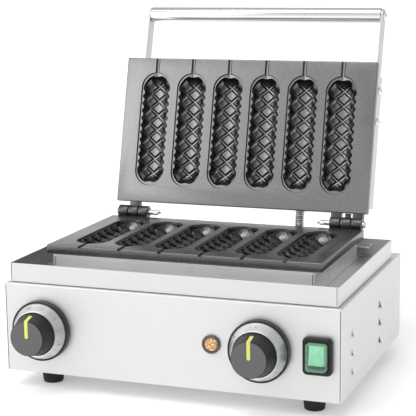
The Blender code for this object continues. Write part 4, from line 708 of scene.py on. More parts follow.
def circle(radius, centre=(0, 0), steps=ROUND_STEPS):
    """Returns a closed circle."""
    return arc(centre, radius, 0, 2 * math.pi, steps)[:-1]


def stadium(width, length, steps):
    """Returns a stadium outline about the origin, its length along Y."""
    radius = width / 2
    reach = length / 2 - radius
    return arc((0, reach), radius, 0, math.pi, steps) + arc((0, -reach), radius, math.pi, 2 * math.pi, steps)


def rounded_rectangle(size, corner, steps=8):
    """Returns a rectangle about the origin with round corners."""
    points = []
    for quarter, (side, level) in enumerate(((1, 1), (-1, 1), (-1, -1), (1, -1))):
        centre = (side * (size[0] / 2 - corner), level * (size[1] / 2 - corner))
        points += arc(centre, corner, quarter * HALF, (quarter + 1) * HALF, steps)
    return points


def outline_plate(name, loops, thickness, edge=0.0, rounding=ROUNDING_STEPS):
    """Returns a plate about its middle plane from closed outlines, holes among them, with rounded edges."""
    curve = bpy.data.curves.new(name, "CURVE")
    curve.dimensions = "2D"
    curve.fill_mode = "BOTH"
    curve.extrude = thickness / 2 - edge
    if edge:
        curve.bevel_depth = edge
        curve.bevel_resolution = 2
        curve.offset = -edge
    for loop in loops:
        loop = softened(loop, rounding)
        spline = curve.splines.new("POLY")
        spline.points.add(len(loop) - 1)
        for point, place in zip(spline.points, loop):
            point.co = (*place, 0, 1)
        spline.use_cyclic_u = True
    return mesh_of(curve)


def lettering(text, height, thickness):
    """Returns one piece of lettering about its own middle, as a mesh."""
    curve = bpy.data.curves.new("lettering", "FONT")
    curve.body = text
    curve.size = height / CAPITAL_SHARE
    curve.align_x = "CENTER"
    curve.align_y = "CENTER"
    curve.extrude = thickness / 2
    curve.resolution_u = 3
    return mesh_of(curve)


def store(mesh, name, values):
    """Stores a number on each face of a mesh, for its finish to read."""
    attribute = mesh.attributes.new(name, "FLOAT", "FACE")
    for item, value in zip(attribute.data, values):
        item.value = value


# Pieces


def dressed(name, mesh, look):
    """Adds an object that shows a mesh in one finish."""
    mesh.materials.clear()
    mesh.materials.append(finish(look))
    return linked(name, mesh)


def add_detail(name, mesh, place, body, look):
    """Adds a piece that rides on a body."""
    piece = dressed(name, moved(mesh, place), look)
    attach(piece, body)
    return piece


def stand_in(node, mesh, place=MACHINE, look=None):
    """Puts a detailed piece in the place of a packed node: it rides on the same body and takes its finish."""
    packed = frame["nodes"][node]
    slot = packed.data.materials[0].name
    piece = add_detail(node + "_detailed", mesh, place, packed["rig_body"], look or slot)
    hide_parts(node)
    return piece


def even_shading(piece):
    """Lets the large flats of a sheet piece, and not its bends, lead its smooth shading."""
    modifier = piece.modifiers.new("even_shading", "WEIGHTED_NORMAL")
    modifier.keep_sharp = True


def both_sides(x, y, z):
    """Returns a place on the right and its mirror on the left."""
    return [at(x, y, z), at(-x, y, z)]


# Finishes


class Wire:
    """A shader socket that is used in plain arithmetic. Each operation adds a Math node."""

    def __init__(self, look, socket):
        self.look = look
        self.socket = socket

    def maths(self, operation, first, second):
        return self.look.node("ShaderNodeMath", {"operation": operation}, {0: first, 1: second})

    def __add__(self, other):
        return self.maths("ADD", self, other)

    def __radd__(self, other):
        return self.maths("ADD", other, self)

    def __sub__(self, other):
        return self.maths("SUBTRACT", self, other)

    def __rsub__(self, other):
        return self.maths("SUBTRACT", other, self)

    def __mul__(self, other):
        return self.maths("MULTIPLY", self, other)

    def __rmul__(self, other):
        return self.maths("MULTIPLY", other, self)

    def __pow__(self, other):
        return self.maths("POWER", self, other)

    def __gt__(self, other):
        return self.maths("GREATER_THAN", self, other)

    def __or__(self, other):
        return self.maths("MAXIMUM", self, other)

    def __ror__(self, other):
        return self.maths("MAXIMUM", other, self)

    def held(self):
        """Keeps a value between 0 and 1."""
        return self.maths("MINIMUM", self | 0.0, 1.0)


class Look:
    """The nodes of one material, or of the world."""

    def __init__(self, tree, shader):
        self.tree = tree
        self.shader = shader
        self.place = self.node("ShaderNodeTexCoord", output="Object")

    def node(self, kind, settings=None, sockets=None, output=0):
        """Adds a node: its settings first, then the values or wires of its sockets."""
        new = self.tree.nodes.new(kind)
        for name, value in (settings or {}).items():
            setattr(new, name, value)
        for key, value in (sockets or {}).items():
            self.fill(new.inputs[key], value)
        return Wire(self, new.outputs[output])

    def fill(self, socket, value):
        """Sets a socket to a value, or joins a wire to it."""
        if isinstance(value, Wire):
            self.tree.links.new(value.socket, socket)
        else:
            socket.default_value = value

    def set(self, **values):
        """Fills the shader's own sockets, named with an underscore for each space."""
        for name, value in values.items():
            self.fill(self.shader.inputs[name.replace("_", " ").title().replace("Ior", "IOR")], value)

    def mix(self, factor, first, second):
        """Mixes two colours."""
        sides = [side if isinstance(side, Wire) else (*side, 1.0) for side in (first, second)]
        return self.node("ShaderNodeMix", {"data_type": "RGBA"}, {0: factor, 6: sides[0], 7: sides[1]}, 2)

    def shades(self, factor, colour, low, high):
        """Mixes a darker and a lighter shade of a colour."""
        return self.mix(factor, shade(colour, low), shade(colour, high))

    def grain(self, size, detail=2.0, turn=(0, 0, 0), vector=None):
        """Returns noise whose patches have the given size, or one size along each axis."""
        scale = size if isinstance(size, tuple) else (size, size, size)
        sockets = {"Vector": vector or self.place, "Rotation": turn, "Scale": scale}
        place = self.node("ShaderNodeMapping", {"vector_type": "TEXTURE"}, sockets)
        return self.node("ShaderNodeTexNoise", None, {"Vector": place, "Scale": 1.0, "Detail": detail})

    def stored(self, name, output="Fac"):
        """Reads what the mesh stores under a name."""
        return self.node("ShaderNodeAttribute", {"attribute_name": name}, None, output)

    def along(self, vector, axis):
        """Returns how far a vector points along an axis."""
        return self.node("ShaderNodeVectorMath", {"operation": "DOT_PRODUCT"}, {0: vector, 1: axis}, "Value")

    def facing(self, axis):
        """Returns how far the surface faces along an axis, from -1 to 1."""
        return self.along(self.node("ShaderNodeTexCoord", output="Normal"), axis)

    def bump(self, height, depth):
        """Returns a normal that a height, from 0 to 1, pushes by the given depth."""
        return self.node("ShaderNodeBump", None, {"Height": height, "Distance": depth, "Strength": 1.0})

    def rays(self):
        """Returns whether a ray comes from the camera, off a shiny piece or through a clear one."""
        paths = self.tree.nodes.new("ShaderNodeLightPath")
        return [Wire(self, paths.outputs["Is " + kind + " Ray"]) for kind in ("Camera", "Glossy", "Transmission")]


def new_look(name, **constants):
    """Starts a material, with the values that are the same all over it on the shader's own sockets."""
    material = bpy.data.materials.new(name)
    material.use_nodes = True
    look = Look(material.node_tree, material.node_tree.nodes["Principled BSDF"])
    look.set(**constants)
    return look


def shade(colour, amount):
    """Returns a colour made darker or lighter."""
    return tuple(min(1.0, channel * amount) for channel in colour)


def sheet_steel_look(name, colours, painted_brightness, roughness, turn=(0, 0, 0)):
    """Brushed sheet: lines run level along every side, with faint clouds over them, and painted shade within, where
    faces marked as inner turn near-black.
    """
    look = new_look(name, metallic=0.75)
    # Painted light: the brightness makes lit or shaded copies of one steel
    colour = shade(colours.steel, painted_brightness)
    level = look.grain((BRUSH_LENGTH, BRUSH_LENGTH, BRUSH_WIDTH), 3.0, turn)
    across = look.grain((BRUSH_LENGTH, BRUSH_WIDTH, BRUSH_LENGTH), 3.0, turn)
    up = look.facing(UP) ** 2
    lines = level * (1 - up) + across * up
    clouds = look.grain(SHEET_CLOUD, 3.0, turn)
    clean = look.shades(lines * 0.55 + clouds * 0.45, colour, 0.93, 1.05)
    look.set(
        # Painted shade: faces marked as inner turn to a near-black shade of the steel
        base_color=look.mix(look.stored("inside"), clean, shade(colour, 0.15)),
        roughness=lines * 0.16 + clouds * 0.10 + (roughness - 0.13),
        normal=look.bump(lines, 0.00002),
    )


def bright_steel_look(name, colours):
    """Polished steel with fine scratches."""
    look = new_look(name, metallic=1.0)
    scratches = look.grain((0.0007, 0.02, 0.02), 4.0)
    clouds = look.grain(0.02)
    look.set(
        base_color=look.shades(clouds, colours.polished, 0.94, 1.04),
        roughness=scratches * 0.12 + clouds * 0.06 + 0.06,
        normal=look.bump(scratches, 0.00001),
    )


def coated_casting_look(name, colours):
    """Dark coated casting: fine grain on the faces, and painted shade that darkens the slopes of the moulds."""
    look = new_look(name, metallic=0.95)
    grain = look.grain(0.0015, 4.0)
    clouds = look.grain(0.03, 3.0)
    tone = grain * 0.8 + clouds * 0.2
    coat = look.shades(tone, colours.casting, 0.68, 1.32)
    shaded_coat = look.shades(tone, colours.casting, 0.15, 0.32)
    look.set(
        base_color=look.mix(look.stored("seasoning"), coat, shaded_coat),
        roughness=clouds * 0.08 + grain * 0.10 + 0.20,
        normal=look.bump(grain, 0.00006),
    )


def dark_steel_look(name, colours):
    """Darkened turned steel with fine scratches."""
    look = new_look(name, metallic=1.0)
    scratches = look.grain((0.0007, 0.0007, 0.01), 3.0)
    look.set(
        base_color=look.mix(scratches, (0.06, 0.06, 0.06), (0.16, 0.16, 0.165)),
        roughness=scratches * 0.15 + 0.20,
        normal=look.bump(scratches, 0.00001),
    )


def hose_steel_look(name, colours):
    """Ribbed hose, a little cloudy with dust."""
    look = new_look(name, metallic=1.0)
    fine = look.grain(0.0008)
    look.set(
        base_color=look.shades(look.grain(0.012, 3.0), colours.hose, 0.80, 1.08),
        roughness=fine * 0.16 + 0.18,
        normal=look.bump(fine, 0.00002),
    )


def element_steel_look(name, colours):
    """Heating tube with temper colours and scale."""
    look = new_look(name, metallic=0.9)
    scale = look.grain(0.0012, 4.0)
    warm = look.mix(look.grain((0.03, 0.05, 0.03)), (0.20, 0.14, 0.09), (0.22, 0.22, 0.27))
    look.set(
        base_color=look.mix(scale, warm, colours.element),
        roughness=scale * 0.25 + 0.35,
        normal=look.bump(scale, 0.00005),
    )


def moulded_look(name, colours, setting, roughness, grain_size=0.0006, depth=0.00003):
    """Moulded plastic with a fine grain."""
    look = new_look(name, ior=1.45, specular_ior_level=0.4)
    grain = look.grain(grain_size, 3.0)
    clouds = look.grain(0.02)
    look.set(
        base_color=look.shades(clouds, getattr(colours, setting), 0.85, 1.15),
        roughness=grain * 0.14 + clouds * 0.10 + (roughness - 0.12),
        normal=look.bump(grain, depth),
    )


def knob_plastic_look(name, colours):
    """Knob: a grey satin face within a dark moulded flank."""
    look = new_look(name, ior=1.45, specular_ior_level=0.4)
    grain = look.grain(0.0005, 3.0)
    clouds = look.grain(0.015)
    face = look.shades(clouds, colours.knob_face, 0.93, 1.07)
    flank = look.shades(clouds, colours.knob_flank, 0.8, 1.2)
    look.set(
        base_color=look.mix(look.facing((0, -1, 0)) > KNOB_FACE_SHARE, flank, face),
        roughness=grain * 0.12 + clouds * 0.06 + 0.29,
        normal=look.bump(grain, 0.00003),
    )


def dial_metal_look(name, colours):
    """Dial ring brushed round and round, with a painted highlight: its colour is lighter above and below its middle
    and darker at its sides, like the fan of light off turned metal.
    """
    look = new_look(name, metallic=0.7)
    spoke = look.stored("spoke", "Vector")
    streaks = look.grain(0.02, 3.0, vector=spoke)
    sweeps = look.grain(0.55, 1.0, vector=spoke)
    # Painted highlight: the colour is lighter above and below the middle and darker at the sides
    upright = look.along(spoke, (0, 1, 0))
    look.set(
        base_color=look.shades(streaks * 0.3 + sweeps * 0.2 + upright * upright * 0.5, colours.dial, 0.28, 1.25),
        roughness=streaks * 0.16 + 0.16,
        normal=look.bump(streaks, 0.00012),
    )


def lamp_amber_look(name, colours):
    """Amber lens, lit a little from within, with painted glints: lighter patches in its colour and its glow."""
    look = new_look(name, roughness=0.08, ior=1.5, coat_weight=0.6, emission_strength=0.16)
    # Painted highlights: noise patches that stand in for glints off the facets
    painted_glints = (look.grain(0.0022) * 5 - 2.2).held()
    look.set(
        base_color=look.mix(painted_glints, shade(colours.lamp, 0.6), (0.88, 0.62, 0.34)),
        emission_color=look.mix(painted_glints, (0.8, 0.32, 0.06), (1.0, 0.74, 0.42)),
    )


def splash_green_look(name, colours):
    """Clear green cover that shows more colour where it is seen on edge."""
    look = new_look(name, roughness=0.10, ior=1.45, coat_weight=0.3)
    edge = look.node("ShaderNodeLayerWeight", None, {"Blend": 0.45}, "Facing")
    look.set(base_color=look.shades(look.grain(0.01), colours.splash, 0.9, 1.2), alpha=edge * 0.62 + 0.05)


def rocker_green_look(name, colours):
    """Rocker lit through its green plastic, with soft patches of light."""
    look = new_look(name, roughness=0.25, ior=1.5, emission_strength=0.22)
    glow = look.grain(0.006)
    look.set(
        base_color=look.shades(glow, colours.rocker, 0.9, 1.1),
        emission_color=look.mix(glow, (0.18, 0.70, 0.38), (0.40, 0.90, 0.60)),
    )


LOOKS = {
    # The sheet steel looks are lit and shaded copies of one steel, which is painted light: the chamber's is painted
    # brighter against the shade under the plates, and the tray's and the cover's are painted darker
    "brushed_steel": (sheet_steel_look, 1.0, 0.46),
    "tray_steel": (sheet_steel_look, 0.93, 0.31),
    "chamber_steel": (sheet_steel_look, 1.30, 0.30),
    "cover_steel": (sheet_steel_look, 0.84, 0.36, (-OPEN_ANGLE, 0, 0)),
    "bright_steel": (bright_steel_look,),
    "dark_steel": (dark_steel_look,),
    "coated_casting": (coated_casting_look,),
    "hose_steel": (hose_steel_look,),
    "element_steel": (element_steel_look,),
    "black_plastic": (moulded_look, "plastic", 0.36),
    "knob_plastic": (knob_plastic_look,),
    "dial_metal": (dial_metal_look,),
    "pointer_yellow": (moulded_look, "pointer", 0.40),
    "lamp_amber": (lamp_amber_look,),
    "splash_green": (splash_green_look,),
    "rocker_green": (rocker_green_look,),
    "rubber": (moulded_look, "rubber", 0.75, 0.0009, 0.00006),
    "terminal_plastic": (moulded_look, "terminal", 0.50),
    "mark_white": (moulded_look, "light_mark", 0.40),
    "mark_dark": (moulded_look, "dark_mark", 0.45),
}


def finish(kind):
    """Returns the material of a finish, made once."""
    name = kind + "_finish"
    if name not in bpy.data.materials:
        make, *choices = LOOKS[kind]
        make(name, bpy.context.scene.maker_finishes, *choices)
    return bpy.data.materials[name]


# Stage


class MAKER_OT_camera(bpy.types.Operator):
    """Set the camera at the photograph's angle"""

    bl_idname = "maker.camera"
    bl_label = "Camera"

    def execute(self, context):
        camera = bpy.data.cameras.new("camera")
        camera.sensor_width = CAMERA_SENSOR
        camera.lens = CAMERA_LENS
        item = linked("camera", camera)
        turn = about("Z", CAMERA_YAW) @ about("X", HALF + CAMERA_PITCH) @ about("Z", CAMERA_ROLL)
        item.matrix_world = MACHINE @ at(*CAMERA_PLACE) @ turn
        context.scene.camera = item
        return {"FINISHED"}


def lay_floor(tint):
    """Lays a floor that also glows a little for the camera and in reflections."""
    bm = bmesh.new()
    bmesh.ops.create_grid(bm, x_segments=1, y_segments=1, size=FLOOR_SIZE)
    mesh = finished(bm, "floor")
    look = new_look("floor_finish", roughness=0.9, specular_ior_level=0.0, emission_strength=FLOOR_LIFT)
    camera, glossy, clear = look.rays()
    look.set(
        base_color=look.shades(look.grain(0.4), tint, 0.995, 1.005),
        emission_color=look.mix(camera | glossy | clear, (0, 0, 0), (1, 1, 1)),
    )
    mesh.materials.append(bpy.data.materials["floor_finish"])
    linked("floor", mesh)


def hang_sky(scene, settings):
    """Hangs an even sky that is white for the camera and darker overhead in reflections."""
    world = bpy.data.worlds.new("studio")
    world.use_nodes = True
    scene.world = world
    sky = Look(world.node_tree, world.node_tree.nodes["Background"])
    camera, glossy, clear = sky.rays()
    height = sky.node("ShaderNodeSeparateXYZ", None, {"Vector": sky.place}, "Z")
    overhead = ((height - SKY_FADE[0]) * (1 / (SKY_FADE[1] - SKY_FADE[0]))).held()
    mirrored = 1 - overhead * (1 - settings.zenith_share)
    strength = (glossy | clear) * (mirrored - settings.daylight) + settings.daylight
    sky.set(color=(1.0, 1.0, 1.0, 1.0), strength=camera + (1 - camera) * strength)


class MAKER_OT_stage(bpy.types.Operator):
    """Lay the floor and set the light"""

    bl_idname = "maker.stage"
    bl_label = "Floor and light"

    def execute(self, context):
        scene = context.scene
        settings = scene.maker_stage
        lay_floor(scene.maker_finishes.floor)
        hang_sky(scene, settings)
        key = bpy.data.lights.new("key", "SUN")
        key.energy = settings.key_strength
        key.angle = settings.key_spread
        linked("key", key).rotation_euler = KEY_TURN
        panel = bpy.data.lights.new("panel", "AREA")
        panel.energy = settings.panel_power
        panel.size = settings.panel_size
        away = about("Z", -PANEL_BEARING) @ about("X", -PANEL_RISE) @ Vector((0, -PANEL_DISTANCE, 0))
        turn = away.to_track_quat("Z", "Y").to_matrix().to_4x4()
        linked("panel", panel).matrix_world = at(*PANEL_AIM) @ at(*away) @ turn
        scene.view_settings.view_transform = "Standard"
        return {"FINISHED"}


# Conduit


def conduit_route():
    """Returns the hose's middle line: out of the lid's gland, round a bend and down through the deck."""
    lid = LID @ (Vector(LID_GLAND_PLACE) + Vector((0, SEAT_GAP + GLAND_NUT_HEIGHT, 0)))
    out = (LID.to_3x3() @ Vector((0, 1, 0))).normalized()
    bend_start = lid + out * (CONDUIT_STRAIGHT - CONDUIT_SEAT)
    bend_end = MACHINE @ (Vector(DECK_GLAND_PLACE) + UP * GLAND_NUT_HEIGHT)
    span = (bend_end - bend_start).length
    points = [lid - out * CONDUIT_SEAT]
    for index in range(CONDUIT_BEND_STEPS + 1):
        share = index / CONDUIT_BEND_STEPS
        first = bend_start + out * span * share
        last = bend_end - DOWN * span * (1 - share)
        points.append(first.lerp(last, share * share * (3 - 2 * share)))
    points.append(bend_end + DOWN * (GLAND_NUT_HEIGHT + CONDUIT_TAIL))
    return points


def evenly_spaced(points, spacing):
    """Returns points along a line of points at an even spacing, both ends included."""
    lengths = [0.0]
    for first, second in zip(points, points[1:]):
        lengths.append(lengths[-1] + (second - first).length)
    count = max(2, round(lengths[-1] / spacing))
    result = []
    segment = 0
    for index in range(count + 1):
        target = lengths[-1] * index / count
        while segment < len(points) - 2 and lengths[segment + 1] < target:
            segment += 1
        share = (target - lengths[segment]) / (lengths[segment + 1] - lengths[segment])
        result.append(points[segment].lerp(points[segment + 1], share))
    return result


class MAKER_OT_conduit(bpy.types.Operator):
    """Make the ribbed hose between the deck and the lid"""

    bl_idname = "maker.conduit"
    bl_label = "Conduit"

    def execute(self, context):
        sizes = context.scene.maker_conduit
        route = conduit_route()
        rings = evenly_spaced(route, sizes.rib_pitch / RINGS_PER_RIB)
        curve = bpy.data.curves.new("conduit", "CURVE")
        curve.dimensions = "3D"
        curve.bevel_depth = sizes.radius
        curve.bevel_resolution = CONDUIT_SIDES // 4 - 1
        curve.use_fill_caps = True
        spline = curve.splines.new("POLY")
        spline.points.add(len(rings) - 1)
        for index, (point, place) in enumerate(zip(spline.points, rings)):
            wave = math.cos(2 * math.pi * index / RINGS_PER_RIB)
            point.co = (*place, 1)
            point.radius = 1 - sizes.groove / sizes.radius * (0.5 - 0.5 * wave) ** 2
        hose = dressed("conduit_detailed", mesh_of(curve), "hose_steel")
        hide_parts("conduit")
        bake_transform(hose)
        path = evenly_spaced(route, sizes.radius / 2)
        length = sum((second - first).length for first, second in zip(path, path[1:]))
        2 * sizes.radius
        return {"FINISHED"}


# Housing, tray and chamber


def mark_inner_shade(mesh, middle, amount, is_marked=always):
    """Stores the painted shade of each face of a shell: an amount where it looks towards the middle, or else 0."""
    inner = [face.normal.dot(face.center - Vector(middle)) < 0 and is_marked(face) for face in mesh.polygons]
    store(mesh, "inside", [amount if is_inner else 0.0 for is_inner in inner])


def louvre_places():
    """Returns where each louvre hangs, drawn along +X: its top edge's middle on the wall."""
    middles = [(start + LOUVRE_LENGTH / 2, top) for top in LOUVRE_TOPS for start in LOUVRE_STARTS]
    right = [at(HOUSING_SIDE, along, top) for along, top in middles]
    return right + [about("Z", math.pi) @ at(HOUSING_SIDE, -along, top) for along, top in middles]


def louvre_hood():
    """Returns a louvre's hood: a wedge that runs out to its lower lip."""
    bm = cube((LOUVRE_RISE, LOUVRE_LENGTH, LOUVRE_HEIGHT))
    bmesh.ops.translate(bm, vec=(LOUVRE_RISE / 2, 0, -LOUVRE_HEIGHT / 2), verts=bm.verts)
    inner = [vertex for vertex in bm.verts if vertex.co.x < LOUVRE_RISE / 2]
    outer = [vertex for vertex in bm.verts if vertex not in inner]
    top = [vertex for vertex in outer if vertex.co.z > -LOUVRE_HEIGHT / 2]
    bmesh.ops.translate(bm, vec=(-LOUVRE_RISE, 0, 0), verts=top)
    bmesh.ops.translate(bm, vec=(-HOUSING_SHEET / 2, 0, 0), verts=inner)
    edges = [edge for edge in bm.edges if all(vertex in outer for vertex in edge.verts)]
    slanted = [edge for edge in edges if abs(edge.verts[0].co.z - edge.verts[1].co.z) > LOUVRE_EDGE]
    bevelled(bm, slanted, LOUVRE_EDGE, LOUVRE_EDGE_STEPS)
    return finished(bm, "louvre_hood")


def louvre_hollow():
    """Returns what is cut from behind a louvre's hood, which is open below its lip and at both ends."""
    skin = HOUSING_SHEET * math.hypot(1, LOUVRE_RISE / LOUVRE_HEIGHT)
    bottom = -LOUVRE_HEIGHT - OVERRUN
    start = -(LOUVRE_CLEAR + skin) * LOUVRE_HEIGHT / LOUVRE_RISE
    reach = LOUVRE_RISE * -bottom / LOUVRE_HEIGHT - skin
    loop = [(LOUVRE_CLEAR, start), (LOUVRE_CLEAR, bottom), (reach, bottom)]
    return moved(outline_plate("louvre_hollow", [loop], LOUVRE_LENGTH + 2 * OVERRUN), TO_FRONT)


def louvre_slot():
    """Returns the opening in the wall behind a hood."""
    top = LOUVRE_ROOT + HOUSING_SHEET
    depth = HOUSING_SHEET + OVERRUN
    proud = 2 * LOUVRE_CLEAR
    size = (depth + proud, LOUVRE_LENGTH - 2 * HOUSING_SHEET, LOUVRE_HEIGHT - top)
    return block("louvre_slot", size, ((proud - depth) / 2, 0, -(top + LOUVRE_HEIGHT) / 2))


def housing_mesh(sizes):
    """Returns the folded housing with its louvres and the holes for all that it carries."""
    size = (HOUSING_WIDTH, HOUSING_DEPTH, HOUSING_HEIGHT)
    middle = (0, HOUSING_DEPTH / 2, FOOT_HEIGHT + HOUSING_HEIGHT / 2)
    shell = sheet_pan("housing", size, middle, HOUSING_SHEET, [DOWN], [(always, sizes.bend, sizes.bend_steps)])
    louvres = louvre_places()
    deck_width = HOUSING_WIDTH - 2 * (TRAY_SIDE_INSET + DECK_LEDGE)
    deck_size = (deck_width, TRAY_REAR - TRAY_FRONT - 2 * DECK_LEDGE, 2 * OVERRUN)
    through = HOUSING_SHEET + OVERRUN
    seam = block("seam", (SEAM_WIDTH, 2 * through, HOUSING_HEIGHT))
    front_holes = [(x, CONTROL_Z, BUSHING_RADIUS) for x in (THERMOSTAT_X, TIMER_X)]
    front_holes.append((LAMP_X, LAMP_Z, LAMP_BARREL))
    cuts = [
        repeated(louvre_hollow(), louvres),
        repeated(louvre_slot(), louvres),
        block("deck", deck_size, (0, (TRAY_REAR + TRAY_FRONT) / 2, HOUSING_TOP)),
        *(drill(radius + SCREW_GAP, through, at(x, 0, z) @ TO_FRONT) for x, z, radius in front_holes),
        repeated(seam, both_sides(HOUSING_SIDE - SEAM_INSET, 0, middle[2] - SEAM_CLEAR)),
        block("switch_hole", (SWITCH_HOLE[0], 2 * through, SWITCH_HOLE[1]), (SWITCH_X, 0, CONTROL_Z)),
        drill(GLAND_BARREL + SCREW_GAP, through, at(*CORD_GLAND_PLACE) @ TO_BACK),
        drill(GLAND_BARREL + SCREW_GAP, through, at(*DECK_GLAND_PLACE)),
    ]
    result = carved(shell, [repeated(louvre_hood(), louvres)], cuts)
    # Painted shade on every inner face of the housing
    mark_inner_shade(result, middle, 1.0)
    return result


class MAKER_OT_housing(bpy.types.Operator):
    """Make the housing with its louvres"""

    bl_idname = "maker.housing"
    bl_label = "Housing"

    def execute(self, context):
        even_shading(stand_in("housing_shell", housing_mesh(context.scene.maker_housing)))
        return {"FINISHED"}


def tray_mesh(sizes):
    """Returns the drip tray with its open seams, and painted shade on the inner faces of its side walls."""
    depth = TRAY_REAR - TRAY_FRONT
    size = (HOUSING_WIDTH - 2 * TRAY_SIDE_INSET, depth, TRAY_HEIGHT)
    middle = (0, TRAY_FRONT + depth / 2, TRAY_FLOOR + TRAY_HEIGHT / 2)
    bends = [(is_upright, TRAY_CORNER, SMOOTH_STEPS), (is_below, TRAY_FOLD, sizes.bend_steps)]
    tray = sheet_pan("drip_tray", size, middle, TRAY_SHEET, [UP], bends)
    opening_middle = (0, AXIS_Y + MOULD_Y, TRAY_FLOOR + TRAY_SHEET / 2)
    opening = block("tray_opening", (*TRAY_OPENING, 2 * OVERRUN + TRAY_SHEET), opening_middle)
    seam = block("seam", (SEAM_WIDTH, 2 * (TRAY_SHEET + OVERRUN), TRAY_HEIGHT))
    seams = both_sides(size[0] / 2 - SEAM_INSET - TRAY_SHEET / 2, TRAY_FRONT, middle[2] + SEAM_CLEAR)
    tray = carved(tray, cut=[opening, repeated(seam, seams)])
    rim_middle = (0, middle[1], TRAY_FLOOR + TRAY_HEIGHT)
    # Painted shade on the inner faces of the side walls only
    mark_inner_shade(tray, rim_middle, TRAY_INNER_SHADE, lambda face: abs(face.normal.x) > FACING_SHARE)
    return tray


def bracket_mesh():
    """Returns the folded bracket at the tray's rear."""
    loop = [
        (-BRACKET_REACH, 0, BRACKET_EDGE),
        (0, 0, BRACKET_FOLD),
        (0, -BRACKET_DROP, BRACKET_EDGE),
        (-BRACKET_SHEET, -BRACKET_DROP, BRACKET_EDGE),
        (-BRACKET_SHEET, -BRACKET_SHEET, BRACKET_EDGE),
        (-BRACKET_REACH, -BRACKET_SHEET, BRACKET_EDGE),
    ]
    return outline_plate("tray_bracket", [loop], BRACKET_WIDTH, HAIR_EDGE)


def weld_mesh(low, high):
    """Returns a bead of weld that stands from low to high: a thin rod with ripples."""
    count = round((high - low) / WELD_PITCH)
    pitch = (high - low) / count
    waist = WELD_RADIUS * WELD_WAIST_SHARE
    profile = [(0, high)]
    for index in range(count):
        top = high - index * pitch
        profile += [(waist, top), (WELD_RADIUS, top - pitch / 2)]
    return turned("weld_bead", [*profile, (waist, low), (0, low)], WELD_STEPS)


class MAKER_OT_tray(bpy.types.Operator):
    """Make the drip tray, its bracket and the chamber box"""

    bl_idname = "maker.tray"
    bl_label = "Drip tray and chamber"

    def execute(self, context):
        sizes = context.scene.maker_housing
        even_shading(stand_in("drip_tray", tray_mesh(sizes)))
        stand_in("tray_bracket", bracket_mesh(), MACHINE @ at(*BRACKET_PLACE) @ SIDE_VIEW)
        low = TRAY_FLOOR + TRAY_SHEET + SEAT_GAP
        high = LOWER_FACE - PLATE_THICKNESS - SEAT_GAP
        size = (CHAMBER_WIDTH, CHAMBER_REAR - CHAMBER_FRONT, high - low)
        middle = (0, (CHAMBER_FRONT + CHAMBER_REAR) / 2, (low + high) / 2)
        bends = [(always, CHAMBER_BEND, sizes.bend_steps)]
        chamber = sheet_pan("chamber_box", size, middle, CHAMBER_SHEET, [UP, DOWN], bends)
        # Painted light: the chamber takes a brighter copy of the steel against the shade under the plates
        even_shading(stand_in("chamber_box", chamber, look="chamber_steel"))
        weld = weld_mesh(low + CHAMBER_SHEET, high - CHAMBER_SHEET)
        welds = repeated(weld, both_sides(CHAMBER_WIDTH / 2 - WELD_INSET, CHAMBER_FRONT, 0))
        add_detail("chamber_welds", welds, MACHINE, "base", "bright_steel")
        return {"FINISHED"}


# Mould plates


def clip_sheet(bm, point, normal):
    """Cuts away what lies past a plane."""
    geometry = bm.verts[:] + bm.edges[:] + bm.faces[:]
    bmesh.ops.bisect_plane(bm, geom=geometry, dist=MERGE_DISTANCE, plane_co=point, plane_no=normal, clear_outer=True)


def trough_shape(sizes):
    """Returns the radius of a trough's ends and how far their centres lie from its middle."""
    radius = sizes.trough_width / 2
    return radius, sizes.trough_length / 2 - radius


def flat_studs(sizes):
    """Returns the floor of a trough unrolled flat: square studs set cornerwise, with grooves between them."""
    radius, straight = trough_shape(sizes)
    half_girth = math.pi * radius / 2
    cells = 2 * math.ceil((sizes.trough_length / 2 + half_girth) / sizes.stud_pitch)
    half_size = cells * sizes.stud_pitch / math.sqrt(2) / 2
    bm = bmesh.new()
    bmesh.ops.create_grid(bm, x_segments=cells, y_segments=cells, size=half_size, matrix=about("Z", math.pi / 4))
    bmesh.ops.scale(bm, vec=(half_girth / (sizes.stud_pitch * STUDS_TO_RIM), 1, 1), verts=bm.verts)

    def is_inside(place):
        if abs(place.x) > half_girth:
            return False
        along = max(0, abs(place.y) - straight)
        return math.hypot(radius * math.sin(place.x / radius), along) < radius

    studs = [face for face in bm.faces if any(is_inside(vertex.co) for vertex in face.verts)]
    bmesh.ops.inset_individual(bm, faces=studs, thickness=GROOVE_FLOOR / 2, use_even_offset=True)
    slope = (sizes.groove - GROOVE_FLOOR) / 2
    bmesh.ops.inset_individual(bm, faces=studs, thickness=slope, depth=sizes.stud_height, use_even_offset=True)
    brims = [edge for edge in bm.edges if all(v.co.z > sizes.stud_height / 2 for v in edge.verts)]
    bevelled(bm, brims, STUD_EDGE, STUD_EDGE_STEPS)
    long_edges = [edge for edge in bm.edges if edge.calc_length() > sizes.stud_pitch / 3]
    bmesh.ops.subdivide_edges(bm, edges=long_edges, cuts=2, use_grid_fill=True)
    for side in (-1, 1):
        clip_sheet(bm, (side * half_girth, 0, 0), (side, 0, 0))
    for vertex in bm.verts:
        vertex.co.x = radius * math.sin(vertex.co.x / radius)
    facet_distance = radius * math.cos(math.pi / MOULD_END_STEPS / 2)
    for end in (-1, 1):
        for index in range(MOULD_END_STEPS):
            angle = math.pi * (index + 0.5) / MOULD_END_STEPS
            normal = Vector((math.cos(angle), end * math.sin(angle), 0))
            clip_sheet(bm, Vector((0, end * straight, 0)) + normal * facet_distance, normal)
    return bm


